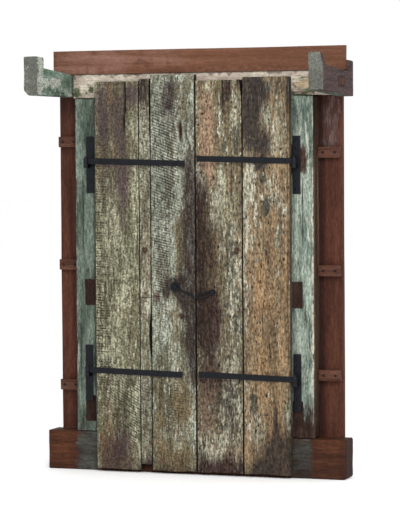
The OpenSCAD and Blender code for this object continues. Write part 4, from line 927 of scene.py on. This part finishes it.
# a strap: flat bar that falls to the right, with a rolled eye on the pin at one end
ironBase = {"slot": "wrought_iron", "dint": 0.8, "pit": 0.3}
strapBase = {
    **ironBase, "y": (-101.5, -97.5), "half": 13.5, "round": 0.9, "pitch": (3, 9, 3), "eye": 11.58,
    "bore": 7.08, "fromPin": 9.3}
for side, level, _, strapZ in hinges:
    strap = {**strapBase, "nodes": [f"strap_{side}_{level}"], "body": f"{side}_leaf", "seed": 200 + strapZ}
    low, high = (corner[0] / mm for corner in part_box(strap["nodes"][0]))
    pin, (frontY, backY), half = pinX[side], strap["y"], strap["half"]
    fromX, toX = (pin + strap["fromPin"], high) if side == "left" else (low, pin - strap["fromPin"])
    bar = addBlock(f"{side}Strap{level.title()}", (fromX, frontY, strapZ - half), (toX, backY, strapZ + half))
    roundAndDivide(bar, strap["round"], strap["pitch"])
    places = readMesh(bar)[0]
    places[:, 2] -= (places[:, 0] - pin * mm) * strapFall
    writeMesh(bar, places)
    forge([bar, addRound("eye", pin, pinY, strap["eye"], strap["bore"], strapZ - half, strapZ + half)], strap)

# a pintle: a plate on the jamb, a lug that stands off it and the pin the strap's eye sits on
pintleBase = {
    **ironBase, "body": "root", "plateHalf": 19, "plateY": (-63.5, -59), "below": 150, "above": 114,
    "round": 1.0, "platePitch": (3, 9, 3.5), "neckHalf": 7, "neckBack": -63, "neckPitch": (3, 4, 4),
    "lugTop": -13.9, "lugHigh": 18, "lug": 11.58, "pin": 7, "pinFoot": 17, "pinTop": 36.4}
for side, level, plateX, strapZ in hinges:
    pintle = {**pintleBase, "nodes": [f"pintle_{side}_{level}"], "seed": 300 + strapZ}
    pin, half, neckHalf = pinX[side], pintle["plateHalf"], pintle["neckHalf"]
    frontY, backY = pintle["plateY"]
    lugTop = strapZ + pintle["lugTop"]
    lugLow = lugTop - pintle["lugHigh"]
    plate = addBlock(f"{side}Pintle{level.title()}", (plateX - half, frontY, strapZ - pintle["below"]),
                     (plateX + half, backY, strapZ + pintle["above"]))
    roundAndDivide(plate, pintle["round"], pintle["platePitch"])
    neck = addBlock("neck", (pin - neckHalf, pinY, lugLow), (pin + neckHalf, pintle["neckBack"], lugTop))
    roundAndDivide(neck, pintle["round"], pintle["neckPitch"])
    lug = addRound("lug", pin, pinY, pintle["lug"], 0, lugLow, lugTop)
    post = addRound("pin", pin, pinY, pintle["pin"], 0, lugTop - pintle["pinFoot"], lugTop + pintle["pinTop"])
    forge([plate, neck, lug, post], pintle)
print("straps and pintles made")

ironKinds = ("strap_nails", "pintle_screws", "latch", "ledge_nails", "cleat_nails", "back_nails")
ironNodes = [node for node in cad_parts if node.startswith(ironKinds)]
for node in ironNodes:
    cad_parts[node].data.materials.clear()
    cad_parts[node].data.materials.append(rustedIron if node.startswith("ledge_nails") else forgedIron)
print("ironwork dressed:", len(ironNodes))

# floor, light and camera
stageLook = {
    "floor": "#ffffff", "floorSize": 120, "floorRoughness": 0.9, "world": 1.0, "key": 420.0,
    "keyPlace": (3.4, -6.4, 4.4), "keyTarget": (0, 0, 1.0), "keySize": 3.6}
bpy.ops.object.select_all(action="DESELECT")
bpy.ops.mesh.primitive_plane_add(size=stageLook["floorSize"], location=(0, 0, 0))
floor = bpy.context.object
floor.name = "paleFloor"
floorPaint = bpy.data.materials.new("matt pale floor paint")
floorPaint.use_nodes = True
floorShader = floorPaint.node_tree.nodes["Principled BSDF"]
floorShader.inputs["Base Color"].default_value = linear(stageLook["floor"])
floorShader.inputs["Roughness"].default_value = stageLook["floorRoughness"]
floor.data.materials.append(floorPaint)
world = bpy.data.worlds.new("studio")
world.use_nodes = True
world.node_tree.nodes["Background"].inputs["Color"].default_value = (1, 1, 1, 1)
world.node_tree.nodes["Background"].inputs["Strength"].default_value = stageLook["world"]
bpy.context.scene.world = world
bpy.ops.object.light_add(type="AREA", location=stageLook["keyPlace"])
key = bpy.context.object
key.data.energy, key.data.size = stageLook["key"], stageLook["keySize"]
key.rotation_euler = (Vector(stageLook["keyTarget"]) - key.location).to_track_quat("-Z", "Y").to_euler()

# the photo's camera; angles in degrees, lengths in mm
shot = {
    "yaw": 19.958, "pitch": 2.461, "roll": -0.381, "distance": 11046.5, "target": (35.66, -59, 1007.75),
    "focalPixels": 2400, "pixels": 513, "sensor": 36}
yaw, pitch, roll = (math.radians(shot[k]) for k in ("yaw", "pitch", "roll"))
level = Vector((-math.sin(yaw), math.cos(yaw), 0))
ahead = level * math.cos(pitch) - Vector((0, 0, math.sin(pitch)))
up = level * math.sin(pitch) + Vector((0, 0, math.cos(pitch)))
right = Vector((math.cos(yaw), math.sin(yaw), 0))
across, rise = right * math.cos(roll) + up * math.sin(roll), up * math.cos(roll) - right * math.sin(roll)
eye = (Vector(shot["target"]) - ahead * shot["distance"]) * mm
bpy.ops.object.camera_add()
camera = bpy.context.object
camera.data.sensor_width = shot["sensor"]
camera.data.lens = shot["focalPixels"] / shot["pixels"] * shot["sensor"]
camera.data.clip_end = 200
camera.matrix_world = Matrix([(across.x, rise.x, -ahead.x, eye.x), (across.y, rise.y, -ahead.y, eye.y),
                              (across.z, rise.z, -ahead.z, eye.z), (0, 0, 0, 1)])
bpy.context.scene.camera = camera
bpy.context.scene.view_settings.view_transform = "Standard"
print("stage set")
